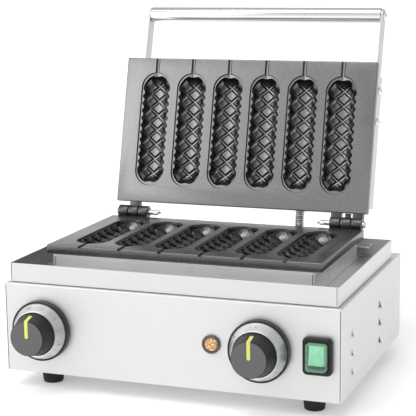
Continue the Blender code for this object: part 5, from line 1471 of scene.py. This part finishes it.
def trough_mesh(sizes):
    """Returns the solid that one trough leaves out of a plate, its rim at zero height."""
    bm = flat_studs(sizes)
    radius, straight = trough_shape(sizes)
    rim = {vertex for edge in bm.edges if edge.is_boundary for vertex in edge.verts}
    for vertex in bm.verts:
        height = vertex.co.z
        middle = max(-straight, min(straight, vertex.co.y))
        offset = Vector((vertex.co.x, vertex.co.y - middle, 0))
        if vertex in rim:
            offset = offset.normalized() * radius
        share = 0 if vertex in rim else math.sqrt(max(0, 1 - (offset.length / radius) ** 2))
        lift = height * (STUD_RIM_SHARE + (1 - STUD_RIM_SHARE) * share)
        offset *= 1 - lift / radius
        vertex.co = (offset.x, middle + offset.y, -share * sizes.trough_depth * (1 - lift / radius))
    rim_edges = [edge for edge in bm.edges if edge.is_boundary]
    wall = bmesh.ops.extrude_edge_only(bm, edges=rim_edges)["geom"]
    raised = {item for item in wall if isinstance(item, bmesh.types.BMVert)}
    bmesh.ops.translate(bm, vec=(0, 0, TROUGH_LIP + RECESS_DEPTH + OVERRUN), verts=list(raised))
    mouth = [item for item in wall if isinstance(item, bmesh.types.BMEdge) and raised.issuperset(item.verts)]
    bmesh.ops.contextual_create(bm, geom=mouth)
    return finished(bm, "trough")


def recess_mesh():
    """Returns the shallow recess round a trough, its wall drawn back a little towards the face."""
    recess = outline_plate("recess", [stadium(RECESS_WIDTH, RECESS_LENGTH, MOULD_END_STEPS)], 2 * RECESS_DEPTH)
    for vertex in recess.vertices:
        if vertex.co.z > 0:
            vertex.co.x *= 1 + 2 * RECESS_DRAFT / RECESS_WIDTH
            vertex.co.y *= 1 + 2 * RECESS_DRAFT / RECESS_LENGTH
    return recess


def ear_mesh(face):
    """Returns a hinge ear from the side: a barrel about the axis with an arm that runs into the plate."""
    root = -(HINGE_SETBACK + EAR_ROOT)
    arm_top = face - EAR_SET_DOWN
    arm_bottom = face - PLATE_THICKNESS + EAR_SET_DOWN
    start = math.pi - math.asin(arm_top / BARREL_RADIUS)
    outline = [(root, arm_top), *arc((0, 0), BARREL_RADIUS, start, -HALF, BARREL_STEPS), (root, arm_bottom)]
    return moved(outline_plate("ear", [outline], KNUCKLE_WIDTH, KNUCKLE_EDGE), SIDE_VIEW)


def casting_mesh(name, sizes, face, heel_turn, heel_side, seasoning, top_shade):
    """Returns a mould plate about the hinge axis: moulds up, the plate towards -Y, two ears at -X, one at +X."""
    plate_middle = (0, -(HINGE_SETBACK + PLATE_LENGTH / 2), face - PLATE_THICKNESS / 2)
    plate = block(name, (PLATE_WIDTH, PLATE_LENGTH, PLATE_THICKNESS), plate_middle, PLATE_EDGE, PLATE_EDGE_STEPS)
    pad_middle = (0, MOULD_Y, face - PLATE_THICKNESS - PAD_DEPTH / 2 + OVERRUN / 2)
    pad = block("pad", (PAD_WIDTH, PAD_LENGTH, PAD_DEPTH + OVERRUN), pad_middle, PAD_EDGE, PLATE_EDGE_STEPS)
    ear = ear_mesh(face)
    ears = [-HINGE_SPREAD - EAR_PITCH, -HINGE_SPREAD + EAR_PITCH, HINGE_SPREAD]
    heel_middle = (0, -HEEL_ROOT - HEEL_SIZE[1] / 2, heel_side * (HEEL_START + HEEL_SIZE[2] / 2))
    heel = moved(block("heel", HEEL_SIZE, heel_middle, FINE_EDGE), at(HINGE_SPREAD, 0, 0) @ heel_turn)
    first = -(MOULD_COUNT - 1) / 2 * MOULD_PITCH
    across = [first + index * MOULD_PITCH for index in range(MOULD_COUNT)]
    slot_end = MOULD_Y - sizes.trough_length / 2 + STICK_SLOT_OVERLAP
    slot_mouth = -(HINGE_SETBACK + PLATE_LENGTH) - OVERRUN
    slot = moved(rod("stick_slot", STICK_SLOT_WIDTH / 2, slot_mouth, slot_end, HOLE_STEPS), TO_BACK)
    cuts = [
        drill(PIN_RADIUS + PIN_GAP, HINGE_OUTER + OVERRUN, TO_RIGHT),
        repeated(recess_mesh(), [at(x, MOULD_Y, face) for x in across]),
        repeated(trough_mesh(sizes), [at(x, MOULD_Y, face - RECESS_DEPTH - TROUGH_LIP) for x in across]),
        repeated(slot, [at(x, 0, face + SLOT_LIFT) for x in across]),
    ]
    result = carved(plate, [pad, *(moved(ear.copy(), at(x, 0, 0)) for x in ears), heel], cuts)
    # Painted shade on each face, stored for the casting's finish
    store(result, "seasoning", casting_painted_shade(result, face, sizes, seasoning, top_shade))
    return result


def casting_painted_shade(mesh, face, sizes, least, top_shade):
    """Returns the painted shade on each face of a casting, by how it faces: 1 on the slopes in its moulds, least
    where level.
    """
    deepest = face - RECESS_DEPTH - sizes.trough_depth - OVERRUN / 2
    radius, straight = trough_shape(sizes)
    reach = RECESS_LENGTH / 2 + RECESS_DRAFT
    front = -(HINGE_SETBACK + PLATE_LENGTH) + PLATE_EDGE

    def darkness(polygon):
        across, along, height = polygon.center
        row = across / MOULD_PITCH + MOULD_COUNT / 2 - 0.5
        aside = abs(row - round(row)) * MOULD_PITCH
        in_mould = abs(along - MOULD_Y) < reach and aside < RECESS_WIDTH / 2 + RECESS_DRAFT
        in_slot = front < along < MOULD_Y and aside < STICK_SLOT_WIDTH / 2
        shown = deepest < height < face - SEAT_GAP and abs(across) < MOULD_COUNT / 2 * MOULD_PITCH
        if shown and (in_mould or in_slot):
            beyond = max(0, abs(along - MOULD_Y) - straight)
            depth_share = (face - RECESS_DEPTH - height) / sizes.trough_depth
            is_top = 0 < math.hypot(aside / radius, beyond / radius, depth_share) < TOP_SHARE
            slope = (LEVEL_SHARE - polygon.normal.z) / (LEVEL_SHARE - STEEP_SHARE)
            # Painted shade grows with the slope of a face, and stud tops are held lighter
            return max(least, min(top_shade if is_top else 1.0, slope))
        # Painted shade on the ears and on faces that look sideways
        if along > PLATE_EDGE - HINGE_SETBACK:
            return EAR_PAINTED_SHADE
        return SIDE_PAINTED_SHADE if abs(polygon.normal.z) < FACING_SHARE else least

    return [darkness(polygon) for polygon in mesh.polygons]


class MAKER_OT_mould_plates(bpy.types.Operator):
    """Cast the two mould plates"""

    bl_idname = "maker.mould_plates"
    bl_label = "Mould plates"

    def execute(self, context):
        sizes = context.scene.maker_moulds
        opening = about("X", -OPEN_ANGLE)
        roll_over = about("Y", math.pi)
        lower = casting_mesh("lower_mould_plate", sizes, -AXIS_ABOVE_LOWER, opening, 1, LOWER_LEVEL_SHADE, LOWER_TOP_SHADE)
        stand_in("lower_mould_plate", lower, HINGE)
        upper = casting_mesh("upper_mould_plate", sizes, -UPPER_FACE, roll_over @ opening.inverted(), -1, 0.0, 1.0)
        stand_in("upper_mould_plate", upper, LID @ roll_over)
        return {"FINISHED"}


class MAKER_OT_hinge_pins(bpy.types.Operator):
    """Make the hinge pins and their rings"""

    bl_idname = "maker.hinge_pins"
    bl_label = "Hinge pins and rings"

    def execute(self, context):
        length = HINGE_OUTER - HINGE_INNER + PIN_TAIL + SEAT_GAP
        dome = arc((0, PIN_HEAD_LENGTH - PIN_HEAD_RADIUS), PIN_HEAD_RADIUS, HALF, 0, PIN_HEAD_STEPS)
        shank = [(PIN_HEAD_RADIUS, 0, FINE_EDGE), (PIN_RADIUS, 0), (PIN_RADIUS, -length, PIN_END_ROUND), (0, -length)]
        bow = RING_RADIUS - math.sqrt(RING_RADIUS**2 - PIN_RADIUS**2)
        wire = circle(RING_WIRE, (RING_RADIUS, 0), RING_WIRE_STEPS)
        for side, sign, turn in SIDES:
            pin = turned("hinge_pin", [*dome, *softened(shank)], SCREW_STEPS)
            pin.transform(at(sign * (HINGE_OUTER + SEAT_GAP), 0, 0) @ turn)
            hole_place = at(sign * (RING_X + RING_RADIUS - bow / 2), 0, 0)
            hole = drill(PIN_HOLE_RADIUS, PIN_RADIUS + OVERRUN, hole_place, HOLE_STEPS)
            stand_in("hinge_pin_" + side, carved(pin, cut=[hole]), HINGE)
            ring = turned("hinge_ring", wire, closed=True)
            stand_in("hinge_ring_" + side, ring, HINGE @ at(sign * RING_X, 0, 0))
        return {"FINISHED"}


# Lid


def arm_offset(sizes):
    """Returns how far to the side the middle of each arm stands."""
    return COVER_WIDTH / 2 - COVER_SHEET - SEAT_GAP - sizes.arm_thickness / 2


def arm_screw_places():
    """Returns where the screws cross each arm, as (y, z) in the lid's frame."""
    along = (math.cos(ARM_TILT), math.sin(ARM_TILT))
    return [(HANDLE_Y + reach * along[0], HANDLE_Z - reach * along[1]) for reach in ARM_SCREW_REACHES]


class MAKER_OT_lid_cover(bpy.types.Operator):
    """Fold the lid cover"""

    bl_idname = "maker.lid_cover"
    bl_label = "Lid cover"

    def execute(self, context):
        sizes = context.scene.maker_handle
        size = (COVER_WIDTH, COVER_NEAR - COVER_FAR, COVER_DEPTH)
        middle = (0, (COVER_NEAR + COVER_FAR) / 2, COVER_BACK + COVER_DEPTH / 2)
        bends = [(is_above, COVER_BEND, COVER_BEND_STEPS)]
        cover = sheet_pan("lid_cover", size, middle, COVER_SHEET, [DOWN], bends)
        slot_size = (sizes.arm_thickness + 2 * SEAT_GAP, 2 * (COVER_SHEET + OVERRUN), ARM_WIDTH + 2 * ARM_SLOT_GAP)
        slot_z = HANDLE_Z - (COVER_FAR - HANDLE_Y) * math.tan(ARM_TILT)
        screw_hole = drill(SCREW_RADIUS + SCREW_GAP, COVER_WIDTH / 2 + OVERRUN, TO_RIGHT, HOLE_STEPS)
        cuts = [
            repeated(block("arm_slot", slot_size), both_sides(-arm_offset(sizes), COVER_FAR, slot_z)),
            repeated(screw_hole, [at(0, y, z) for y, z in arm_screw_places()]),
            drill(GLAND_BARREL + SCREW_GAP, COVER_SHEET + OVERRUN, at(*LID_GLAND_PLACE) @ TO_BACK),
        ]
        even_shading(stand_in("lid_cover", carved(cover, cut=cuts), LID))
        return {"FINISHED"}


def dome_screw(name, head, rise, length):
    """Returns a screw along Z with a domed head above zero height and a socket in it."""
    radius = (head**2 + rise**2) / (2 * rise)
    sweep = math.asin(head / radius)
    dome = arc((0, rise - radius), radius, HALF, HALF - sweep, SCREW_DOME_STEPS)
    shank = [(SCREW_RADIUS, 0), (SCREW_RADIUS, -length, SMALL_EDGE), (0, -length)]
    screw = turned(name, [*dome, *softened(shank)], SCREW_STEPS)
    return carved(screw, cut=[rod("socket", SCREW_SOCKET_RADIUS, rise - SCREW_SOCKET_DEPTH, rise + OVERRUN, 6)])


class MAKER_OT_handle(bpy.types.Operator):
    """Make the handle: two flat arms, the tube between them and the screws"""

    bl_idname = "maker.handle"
    bl_label = "Handle"

    def execute(self, context):
        sizes = context.scene.maker_handle
        arm_x = arm_offset(sizes)
        bore = SCREW_RADIUS + SCREW_GAP
        outline = [(y + ARM_LENGTH / 2, x) for x, y in stadium(ARM_WIDTH, ARM_LENGTH + ARM_WIDTH, HOLE_STEPS)]
        holes = [circle(bore, (reach, 0), HOLE_STEPS) for reach in (0, *ARM_SCREW_REACHES)]
        half = arm_x - sizes.arm_thickness / 2 - SEAT_GAP
        inner = sizes.tube_radius - HANDLE_WALL
        profile = [
            (sizes.tube_radius, half, sizes.end_round),
            (sizes.tube_radius, -half, sizes.end_round),
            (bore, -half, FINE_EDGE),
            (bore, HANDLE_PLUG - half),
            (inner, HANDLE_PLUG - half),
            (inner, half - HANDLE_PLUG),
            (bore, half - HANDLE_PLUG),
            (bore, half, FINE_EDGE),
        ]
        tube = turned("handle_tube", profile, FINE_STEPS, closed=True)
        stand_in("handle_tube", tube, LID @ at(0, HANDLE_Y, HANDLE_Z) @ TO_RIGHT)
        for side, sign, outwards in SIDES:
            arm = outline_plate("handle_arm", [outline, *holes], sizes.arm_thickness, ARM_EDGE)
            place = LID @ at(sign * arm_x, HANDLE_Y, HANDLE_Z) @ about("X", -ARM_TILT) @ SIDE_VIEW
            stand_in("handle_arm_" + side, arm, place, look="cover_steel")
            seat = sign * (arm_x + sizes.arm_thickness / 2 + SEAT_GAP)
            screw = dome_screw("handle_screw", *END_SCREW)
            stand_in("handle_screw_" + side, screw, LID @ at(seat, HANDLE_Y, HANDLE_Z) @ outwards)
            seat = sign * (COVER_WIDTH / 2 + SEAT_GAP)
            for level, (y, z) in zip(("upper", "lower"), arm_screw_places()):
                screw = dome_screw("arm_screw", *ARM_SCREW)
                stand_in("arm_screw_" + side + "_" + level, screw, LID @ at(seat, y, z) @ outwards)
        return {"FINISHED"}


# Controls


def pointer_outline(sizes, grow, cut):
    """Returns the pointer from the side, as (height, radius): along the face, then down the knob's flank."""
    flank = Vector((KNOB_SHOULDER - sizes.knob_rise, sizes.knob_radius - sizes.knob_face_radius))
    inward = Vector((-flank.y, flank.x)).normalized()
    proud = POINTER_PROUD + cut
    sink = POINTER_DEPTH + grow
    corner = Vector((sizes.knob_rise, sizes.knob_face_radius))
    end = corner + flank * POINTER_SIDE_SHARE + flank.normalized() * grow
    sunk_face = sizes.knob_rise - sink
    along = (sunk_face - (corner + inward * sink).x) / flank.x
    return [
        (sizes.knob_rise + proud, -grow),
        corner + Vector((proud, 0)) - inward * proud,
        end - inward * proud,
        end + inward * sink,
        corner + inward * sink + flank * along,
        (sunk_face, -grow),
    ]


def pointer_mesh(sizes, grow, cut):
    """Returns the pointer, or the groove for it, with a round end at the middle of the face."""
    width = sizes.pointer_width + 2 * grow
    bm = opened(outline_plate("pointer", [pointer_outline(sizes, grow, cut)], width))
    at_middle = [edge for edge in bm.edges if all(abs(v.co.y + grow) < MERGE_DISTANCE for v in edge.verts)]
    ends = [edge for edge in at_middle if abs(edge.verts[0].co.x - edge.verts[1].co.x) > POINTER_DEPTH / 2]
    bevelled(bm, ends, width * POINTER_END_SHARE, SMOOTH_STEPS)
    upright = about("X", -HALF) @ FRONT_PROFILE
    return moved(finished(bm, "pointer"), upright)


def mark_spokes(mesh):
    """Stores each point's direction from the dial's axis, for the brushing of its finish and its painted highlight.
    """
    attribute = mesh.attributes.new("spoke", "FLOAT_VECTOR", "POINT")
    for vertex, item in zip(mesh.vertices, attribute.data):
        item.vector = (*vertex.co.xy / max(vertex.co.xy.length, MERGE_DISTANCE), 0)


def wrapped_on_dial(mesh, sizes, clock):
    """Lays flat marks onto the cone of a dial, their middle at an angle clockwise from the top."""
    low = Vector((sizes.dial_radius, DIAL_SKIRT))
    high = Vector((sizes.dial_top_radius, DIAL_RISE))
    middle = low.lerp(high, 0.5)
    slope = (low - high).normalized()
    outward = Vector((-slope.y, slope.x))
    for vertex in mesh.vertices:
        place = middle + slope * vertex.co.y + outward * (vertex.co.z + MARK_RAISE / 2)
        angle = HALF - clock - vertex.co.x / middle.x
        vertex.co = (place.x * math.cos(angle), place.x * math.sin(angle), place.y)
    return finished(opened(mesh), "marks")


def dial_marks(sizes, ticks, marks):
    """Returns a dial's ticks and numbers as one mesh."""
    pieces = [(block("tick", (*TICK_SIZE, MARK_RAISE)), degrees) for degrees in ticks]
    pieces += [(lettering(text, MARK_HEIGHT, MARK_RAISE), degrees) for text, degrees in marks]
    bm = bmesh.new()
    for piece, degrees in pieces:
        bm.from_mesh(wrapped_on_dial(piece, sizes, math.radians(degrees)))
    return finished(bm, "dial_marks")


def rib_flank(mesh, low, high):
    """Sinks every second line of a turned flank between two heights, which leaves fine ribs."""
    step = math.tau / (2 * KNOB_RIBS)
    for vertex in mesh.vertices:
        if low < vertex.co.z < high and vertex.co.xy.length > KNOB_RIB_MARGIN:
            line = round(math.atan2(vertex.co.y, vertex.co.x) / step)
            vertex.co.xy *= 1 - (line % 2) * KNOB_RIB_DEPTH / vertex.co.xy.length
    return finished(opened(mesh), mesh.name)


def bezel_mesh(name, sizes):
    """Returns the dark ring round a dial, with the floor that the dial stands on."""
    ring = sizes.bezel_radius - BEZEL_RING
    profile = [
        (sizes.bezel_radius, BEZEL_RISE, BEZEL_EDGE),
        (sizes.bezel_radius, SEAT_GAP, FINE_EDGE),
        (BEZEL_HOLE, SEAT_GAP),
        (BEZEL_HOLE, BEZEL_FLOOR),
        (ring, BEZEL_FLOOR),
        (ring, BEZEL_RISE, FINE_EDGE),
    ]
    return turned(name, profile, FINE_STEPS, closed=True)


def dial_mesh(name, sizes):
    """Returns the dial, a cone with a skirt and a lip against the knob."""
    profile = [
        (sizes.dial_top_radius, DIAL_RISE, FINE_EDGE),
        (sizes.dial_radius, DIAL_SKIRT, SMALL_EDGE),
        (sizes.dial_radius, BEZEL_FLOOR + SEAT_GAP, FINE_EDGE),
        (DIAL_BORE, BEZEL_FLOOR + SEAT_GAP),
        (DIAL_BORE, DIAL_BORE_RISE),
        (DIAL_LIP, DIAL_RISE, HAIR_EDGE),
    ]
    dial = turned(name, profile, FINE_STEPS, closed=True)
    mark_spokes(dial)
    return dial


def knob_mesh(name, sizes):
    """Returns the knob with its ribbed flank, its shaft's hole and the groove for its pointer."""
    edge = Vector((sizes.knob_face_radius, sizes.knob_rise))
    shoulder = Vector((sizes.knob_radius, KNOB_SHOULDER))
    down = (shoulder - edge).normalized()
    ribs_start = edge + down * KNOB_RIB_MARGIN
    ribs_end = shoulder - down * 2 * KNOB_RIB_MARGIN
    profile = [
        (0, sizes.knob_rise),
        (*edge, KNOB_EDGE),
        ribs_start,
        ribs_start + down * KNOB_RIB_DEPTH,
        ribs_end - down * KNOB_RIB_DEPTH,
        ribs_end,
        (*shoulder, KNOB_SHOULDER_ROUND),
        (sizes.knob_radius, KNOB_BACK, KNOB_BACK_ROUND),
        (SHAFT_HOLE, KNOB_BACK),
        (SHAFT_HOLE, SHAFT_SEAT),
        (0, SHAFT_SEAT),
    ]
    middle = (ribs_start.y + ribs_end.y) / 2
    reach = (ribs_start.y - ribs_end.y) / 2 - KNOB_RIB_DEPTH / 2
    knob = rib_flank(turned(name, profile, 2 * KNOB_RIBS), middle - reach, middle + reach)
    return carved(knob, cut=[pointer_mesh(sizes, SEAT_GAP, OVERRUN)])


def add_control(name, across, ticks, marks, sizes):
    """Adds one control: bezel, dial with its marks, knob and pointer."""
    seat = MACHINE @ at(across, 0, CONTROL_Z) @ TO_FRONT
    stand_in(name + "_bezel", bezel_mesh(name + "_bezel", sizes), seat)
    stand_in(name + "_dial", dial_mesh(name + "_dial", sizes), seat)
    add_detail(name + "_marks", dial_marks(sizes, ticks, marks), seat, "base", "mark_dark")
    stand_in(name + "_knob", knob_mesh(name + "_knob", sizes), seat)
    stand_in(name + "_pointer", pointer_mesh(sizes, 0, 0), seat)


class MAKER_OT_controls(bpy.types.Operator):
    """Make the thermostat and timer knobs with their dials"""

    bl_idname = "maker.controls"
    bl_label = "Controls"

    def execute(self, context):
        sizes = context.scene.maker_controls
        add_control("thermostat", THERMOSTAT_X, THERMOSTAT_TICKS, THERMOSTAT_MARKS, sizes)
        add_control("timer", TIMER_X, TIMER_TICKS, TIMER_MARKS, sizes)
        return {"FINISHED"}


class MAKER_OT_lamp(bpy.types.Operator):
    """Make the lamp's holder and its faceted lens"""

    bl_idname = "maker.lamp"
    bl_label = "Lamp"

    def execute(self, context):
        seat = MACHINE @ at(LAMP_X, 0, LAMP_Z) @ TO_FRONT
        profile = [
            (LAMP_FLANGE, LAMP_FLANGE_RISE, LAMP_FLANGE_EDGE),
            (LAMP_FLANGE, SEAT_GAP, HAIR_EDGE),
            (LAMP_BARREL, SEAT_GAP),
            (LAMP_BARREL, -LAMP_DEPTH, SMALL_EDGE),
            (0, -LAMP_DEPTH),
            (0, -LAMP_BORE_DEPTH),
            (LAMP_BORE, -LAMP_BORE_DEPTH),
            (LAMP_BORE, LAMP_FLANGE_RISE, LAMP_BORE_EDGE),
        ]
        stand_in("lamp_holder", turned("lamp_holder", profile, LAMP_STEPS, closed=True), seat, "dark_steel")
        radius = LAMP_BORE - SEAT_GAP
        shoulder = LAMP_FLANGE_RISE - LAMP_FLANGE_EDGE
        waist = (LENS_FACE_RADIUS + radius) / 2
        profile = [
            (0, LENS_RISE - LENS_DISH),
            (LENS_FACE_RADIUS / 2, LENS_RISE),
            (waist, LENS_RISE - LENS_WAIST_DROP),
            (radius, shoulder),
            (radius, SEAT_GAP - LAMP_BORE_DEPTH),
            (0, SEAT_GAP - LAMP_BORE_DEPTH),
        ]
        bm = opened(turned("lamp_lens", profile, LENS_FACETS))
        ring = [vertex for vertex in bm.verts if abs(vertex.co.xy.length - waist) < MERGE_DISTANCE]
        bmesh.ops.rotate(bm, cent=(0, 0, 0), matrix=about("Z", math.pi / LENS_FACETS), verts=ring)
        bmesh.ops.triangulate(bm, faces=[face for face in bm.faces if face.calc_center_median().z > shoulder])
        stand_in("lamp_lens", finished(bm, "lamp_lens", LENS_SHARP_ANGLE), seat)
        return {"FINISHED"}


# Switch


def rocker_mesh():
    """Returns the rocker about its pivot."""
    ridge = -ROCKER_PIVOT_DEPTH - ROCKER_RIDGE
    tip = -ROCKER_PIVOT_DEPTH - ROCKER_TIP
    outline = [
        (ridge, 0, ROCKER_RIDGE_ROUND),
        (tip, ROCKER_HALF, ROCKER_TIP_ROUND),
        (0, ROCKER_HALF),
        (ROCKER_BACK, ROCKER_BACK_HALF, ROCKER_BACK_ROUND),
        (ROCKER_BACK, -ROCKER_BACK_HALF, ROCKER_BACK_ROUND),
        (0, -ROCKER_HALF),
        (tip, -ROCKER_HALF, ROCKER_TIP_ROUND),
    ]
    rocker = moved(outline_plate("switch_rocker", [outline], ROCKER_WIDTH, ROCKER_EDGE, SMOOTH_STEPS), SIDE_VIEW)
    return carved(rocker, [drill(PIVOT_RADIUS, PIVOT_REACH, TO_RIGHT, HOLE_STEPS)])


class MAKER_OT_switch(bpy.types.Operator):
    """Make the switch: frame, splash cover and the rocker with its marks"""

    bl_idname = "maker.switch"
    bl_label = "Switch"

    def execute(self, context):
        seat = MACHINE @ at(SWITCH_X, 0, CONTROL_Z) @ TO_FRONT
        outlines = [rounded_rectangle(SWITCH_SIZE, SWITCH_CORNER), rounded_rectangle(WINDOW_SIZE, WINDOW_CORNER)]
        surround = outline_plate("switch_frame", outlines, SWITCH_RISE - SEAT_GAP, SWITCH_EDGE)
        stand_in("switch_frame", moved(surround, at(0, 0, (SWITCH_RISE + SEAT_GAP) / 2)), seat)
        size = (WINDOW_SIZE[0] - 2 * SEAT_GAP, WINDOW_SIZE[1] - 2 * SEAT_GAP, SPLASH_RISE - SEAT_GAP)
        middle = (0, 0, (SPLASH_RISE + SEAT_GAP) / 2)
        hood = sheet_pan("splash_cover", size, middle, SPLASH_WALL, [DOWN], [(always, WINDOW_CORNER, SMOOTH_STEPS)])
        stand_in("splash_cover", hood, seat)
        axis = MACHINE @ at(SWITCH_X, ROCKER_PIVOT_DEPTH, CONTROL_Z) @ about("X", -ROCKER_TILT)
        stand_in("switch_rocker", rocker_mesh(), axis)
        rise = ROCKER_MARK_RISE / 2
        bar = block("mark", (*ROCKER_BAR, ROCKER_MARK_RISE), (0, 0, rise), rise)
        rings = [circle(radius) for radius in ROCKER_LOOP]
        loop = moved(outline_plate("mark", rings, ROCKER_MARK_RISE), at(0, 0, rise))
        depth = -ROCKER_PIVOT_DEPTH - (ROCKER_RIDGE + ROCKER_TIP) / 2
        for name, mark, level in (("rocker_mark_on", bar, 1), ("rocker_mark_off", loop, -1)):
            place = axis @ at(0, depth, level * ROCKER_HALF / 2) @ about("X", HALF + level * ROCKER_SLOPE)
            add_detail(name, mark, place, "rocker", "mark_white")
        return {"FINISHED"}


# Feet and glands


class MAKER_OT_feet(bpy.types.Operator):
    """Make the rubber feet"""

    bl_idname = "maker.feet"
    bl_label = "Feet"

    def execute(self, context):
        for node, (across, back) in FOOT_PLACES.items():
            low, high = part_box(node)
            height = high.z - low.z
            profile = [
                (FOOT_TOP_RADIUS, height, SMALL_EDGE),
                (FOOT_BOTTOM_RADIUS, 0, FOOT_BOTTOM_ROUND),
                (FOOT_COUNTERBORE, 0, SMALL_EDGE),
                (FOOT_COUNTERBORE, FOOT_COUNTERBORE_DEPTH),
                (FOOT_BORE, FOOT_COUNTERBORE_DEPTH),
                (FOOT_BORE, height),
            ]
            foot = turned(node, profile, FINE_STEPS, closed=True, rounding=SMOOTH_STEPS)
            stand_in(node, foot, MACHINE @ at(across, back, low.z))
        return {"FINISHED"}


def nut_mesh(low, high):
    """Returns a hexagon nut with chamfered corners."""
    flat = GLAND_NUT_WIDTH / 2
    radius = flat / math.cos(math.pi / 6)
    chamfer = (radius - flat) / 2
    profile = [(0, high), (flat, high), (radius, high - chamfer), (radius, low + chamfer), (flat, low), (0, low)]
    return carved(rod("nut", radius, low, high, 6), keep=[turned("chamfer", profile, FINE_STEPS)])


def gland_mesh(wall):
    """Returns a gland along Z through a wall whose outer face is at zero height, with a nut on each side."""
    bottom = -wall - LOCKNUT_HEIGHT - SEAT_GAP
    top = GLAND_NUT_HEIGHT + SEAT_GAP
    barrel = rod("gland", GLAND_BARREL, bottom, top)
    nuts = [nut_mesh(SEAT_GAP, top), nut_mesh(bottom, -wall - SEAT_GAP)]
    bore = rod("bore", GLAND_BORE, bottom - OVERRUN, top + OVERRUN)
    return moved(carved(barrel, nuts, [bore]), about("Z", math.pi / 6))


class MAKER_OT_glands(bpy.types.Operator):
    """Make the glands of the hose and of the mains lead"""

    bl_idname = "maker.glands"
    bl_label = "Glands"

    def execute(self, context):
        stand_in("lid_gland", gland_mesh(COVER_SHEET), LID @ at(*LID_GLAND_PLACE) @ TO_BACK)
        stand_in("deck_gland", gland_mesh(HOUSING_SHEET), MACHINE @ at(*DECK_GLAND_PLACE))
        stand_in("cord_gland", gland_mesh(HOUSING_SHEET), MACHINE @ at(*CORD_GLAND_PLACE) @ TO_BACK)
        return {"FINISHED"}


class MAKER_OT_carried(bpy.types.Operator):
    """Give every packed piece that still shows its finish"""

    bl_idname = "maker.carried"
    bl_label = "Finishes of the packed pieces"

    def execute(self, context):
        for item in frame["nodes"].values():
            if item.hide_render:
                continue
            slot = item.data.materials[0].name
            item.material_slots[0].material = finish(slot)
        return {"FINISHED"}


PIECE_OPERATORS = (
    MAKER_OT_camera,
    MAKER_OT_conduit,
    MAKER_OT_housing,
    MAKER_OT_tray,
    MAKER_OT_mould_plates,
    MAKER_OT_hinge_pins,
    MAKER_OT_lid_cover,
    MAKER_OT_handle,
    MAKER_OT_controls,
    MAKER_OT_lamp,
    MAKER_OT_switch,
    MAKER_OT_feet,
    MAKER_OT_glands,
    MAKER_OT_carried,
    MAKER_OT_stage,
)

SETTINGS = {
    "maker_housing": HousingSizes,
    "maker_moulds": MouldSizes,
    "maker_handle": HandleSizes,
    "maker_controls": ControlSizes,
    "maker_conduit": ConduitSizes,
    "maker_finishes": FinishColours,
    "maker_stage": StageSettings,
}


class MAKER_PT_panel(bpy.types.Panel):
    """Lists the machine's sizes, colours and pieces"""

    bl_idname = "MAKER_PT_panel"
    bl_label = "Corn dog maker"
    bl_space_type = "VIEW_3D"
    bl_region_type = "UI"
    bl_category = "Corn dog maker"

    def draw(self, context):
        layout = self.layout
        for name, group in SETTINGS.items():
            box = layout.box()
            box.label(text=group.__doc__)
            for setting in group.__annotations__:
                box.prop(getattr(context.scene, name), setting)
        for operator in PIECE_OPERATORS:
            layout.operator(operator.bl_idname)


def register():
    """Registers the settings, the operators and the panel."""
    for name, group in SETTINGS.items():
        bpy.utils.register_class(group)
        setattr(bpy.types.Scene, name, PointerProperty(type=group))
    for operator in (*PIECE_OPERATORS, MAKER_PT_panel):
        bpy.utils.register_class(operator)


def unregister():
    """Takes them away again."""
    for operator in reversed((*PIECE_OPERATORS, MAKER_PT_panel)):
        bpy.utils.unregister_class(operator)
    for name, group in SETTINGS.items():
        delattr(bpy.types.Scene, name)
        bpy.utils.unregister_class(group)


def main():
    """Registers the settings and makes the camera, every piece, the finishes and the stage."""
    register()
    bpy.ops.maker.camera()
    bpy.ops.maker.conduit()
    bpy.ops.maker.housing()
    bpy.ops.maker.tray()
    bpy.ops.maker.mould_plates()
    bpy.ops.maker.hinge_pins()
    bpy.ops.maker.lid_cover()
    bpy.ops.maker.handle()
    bpy.ops.maker.controls()
    bpy.ops.maker.lamp()
    bpy.ops.maker.switch()
    bpy.ops.maker.feet()
    bpy.ops.maker.glands()
    bpy.ops.maker.carried()
    bpy.ops.maker.stage()


if __name__ == "__main__":
    main()
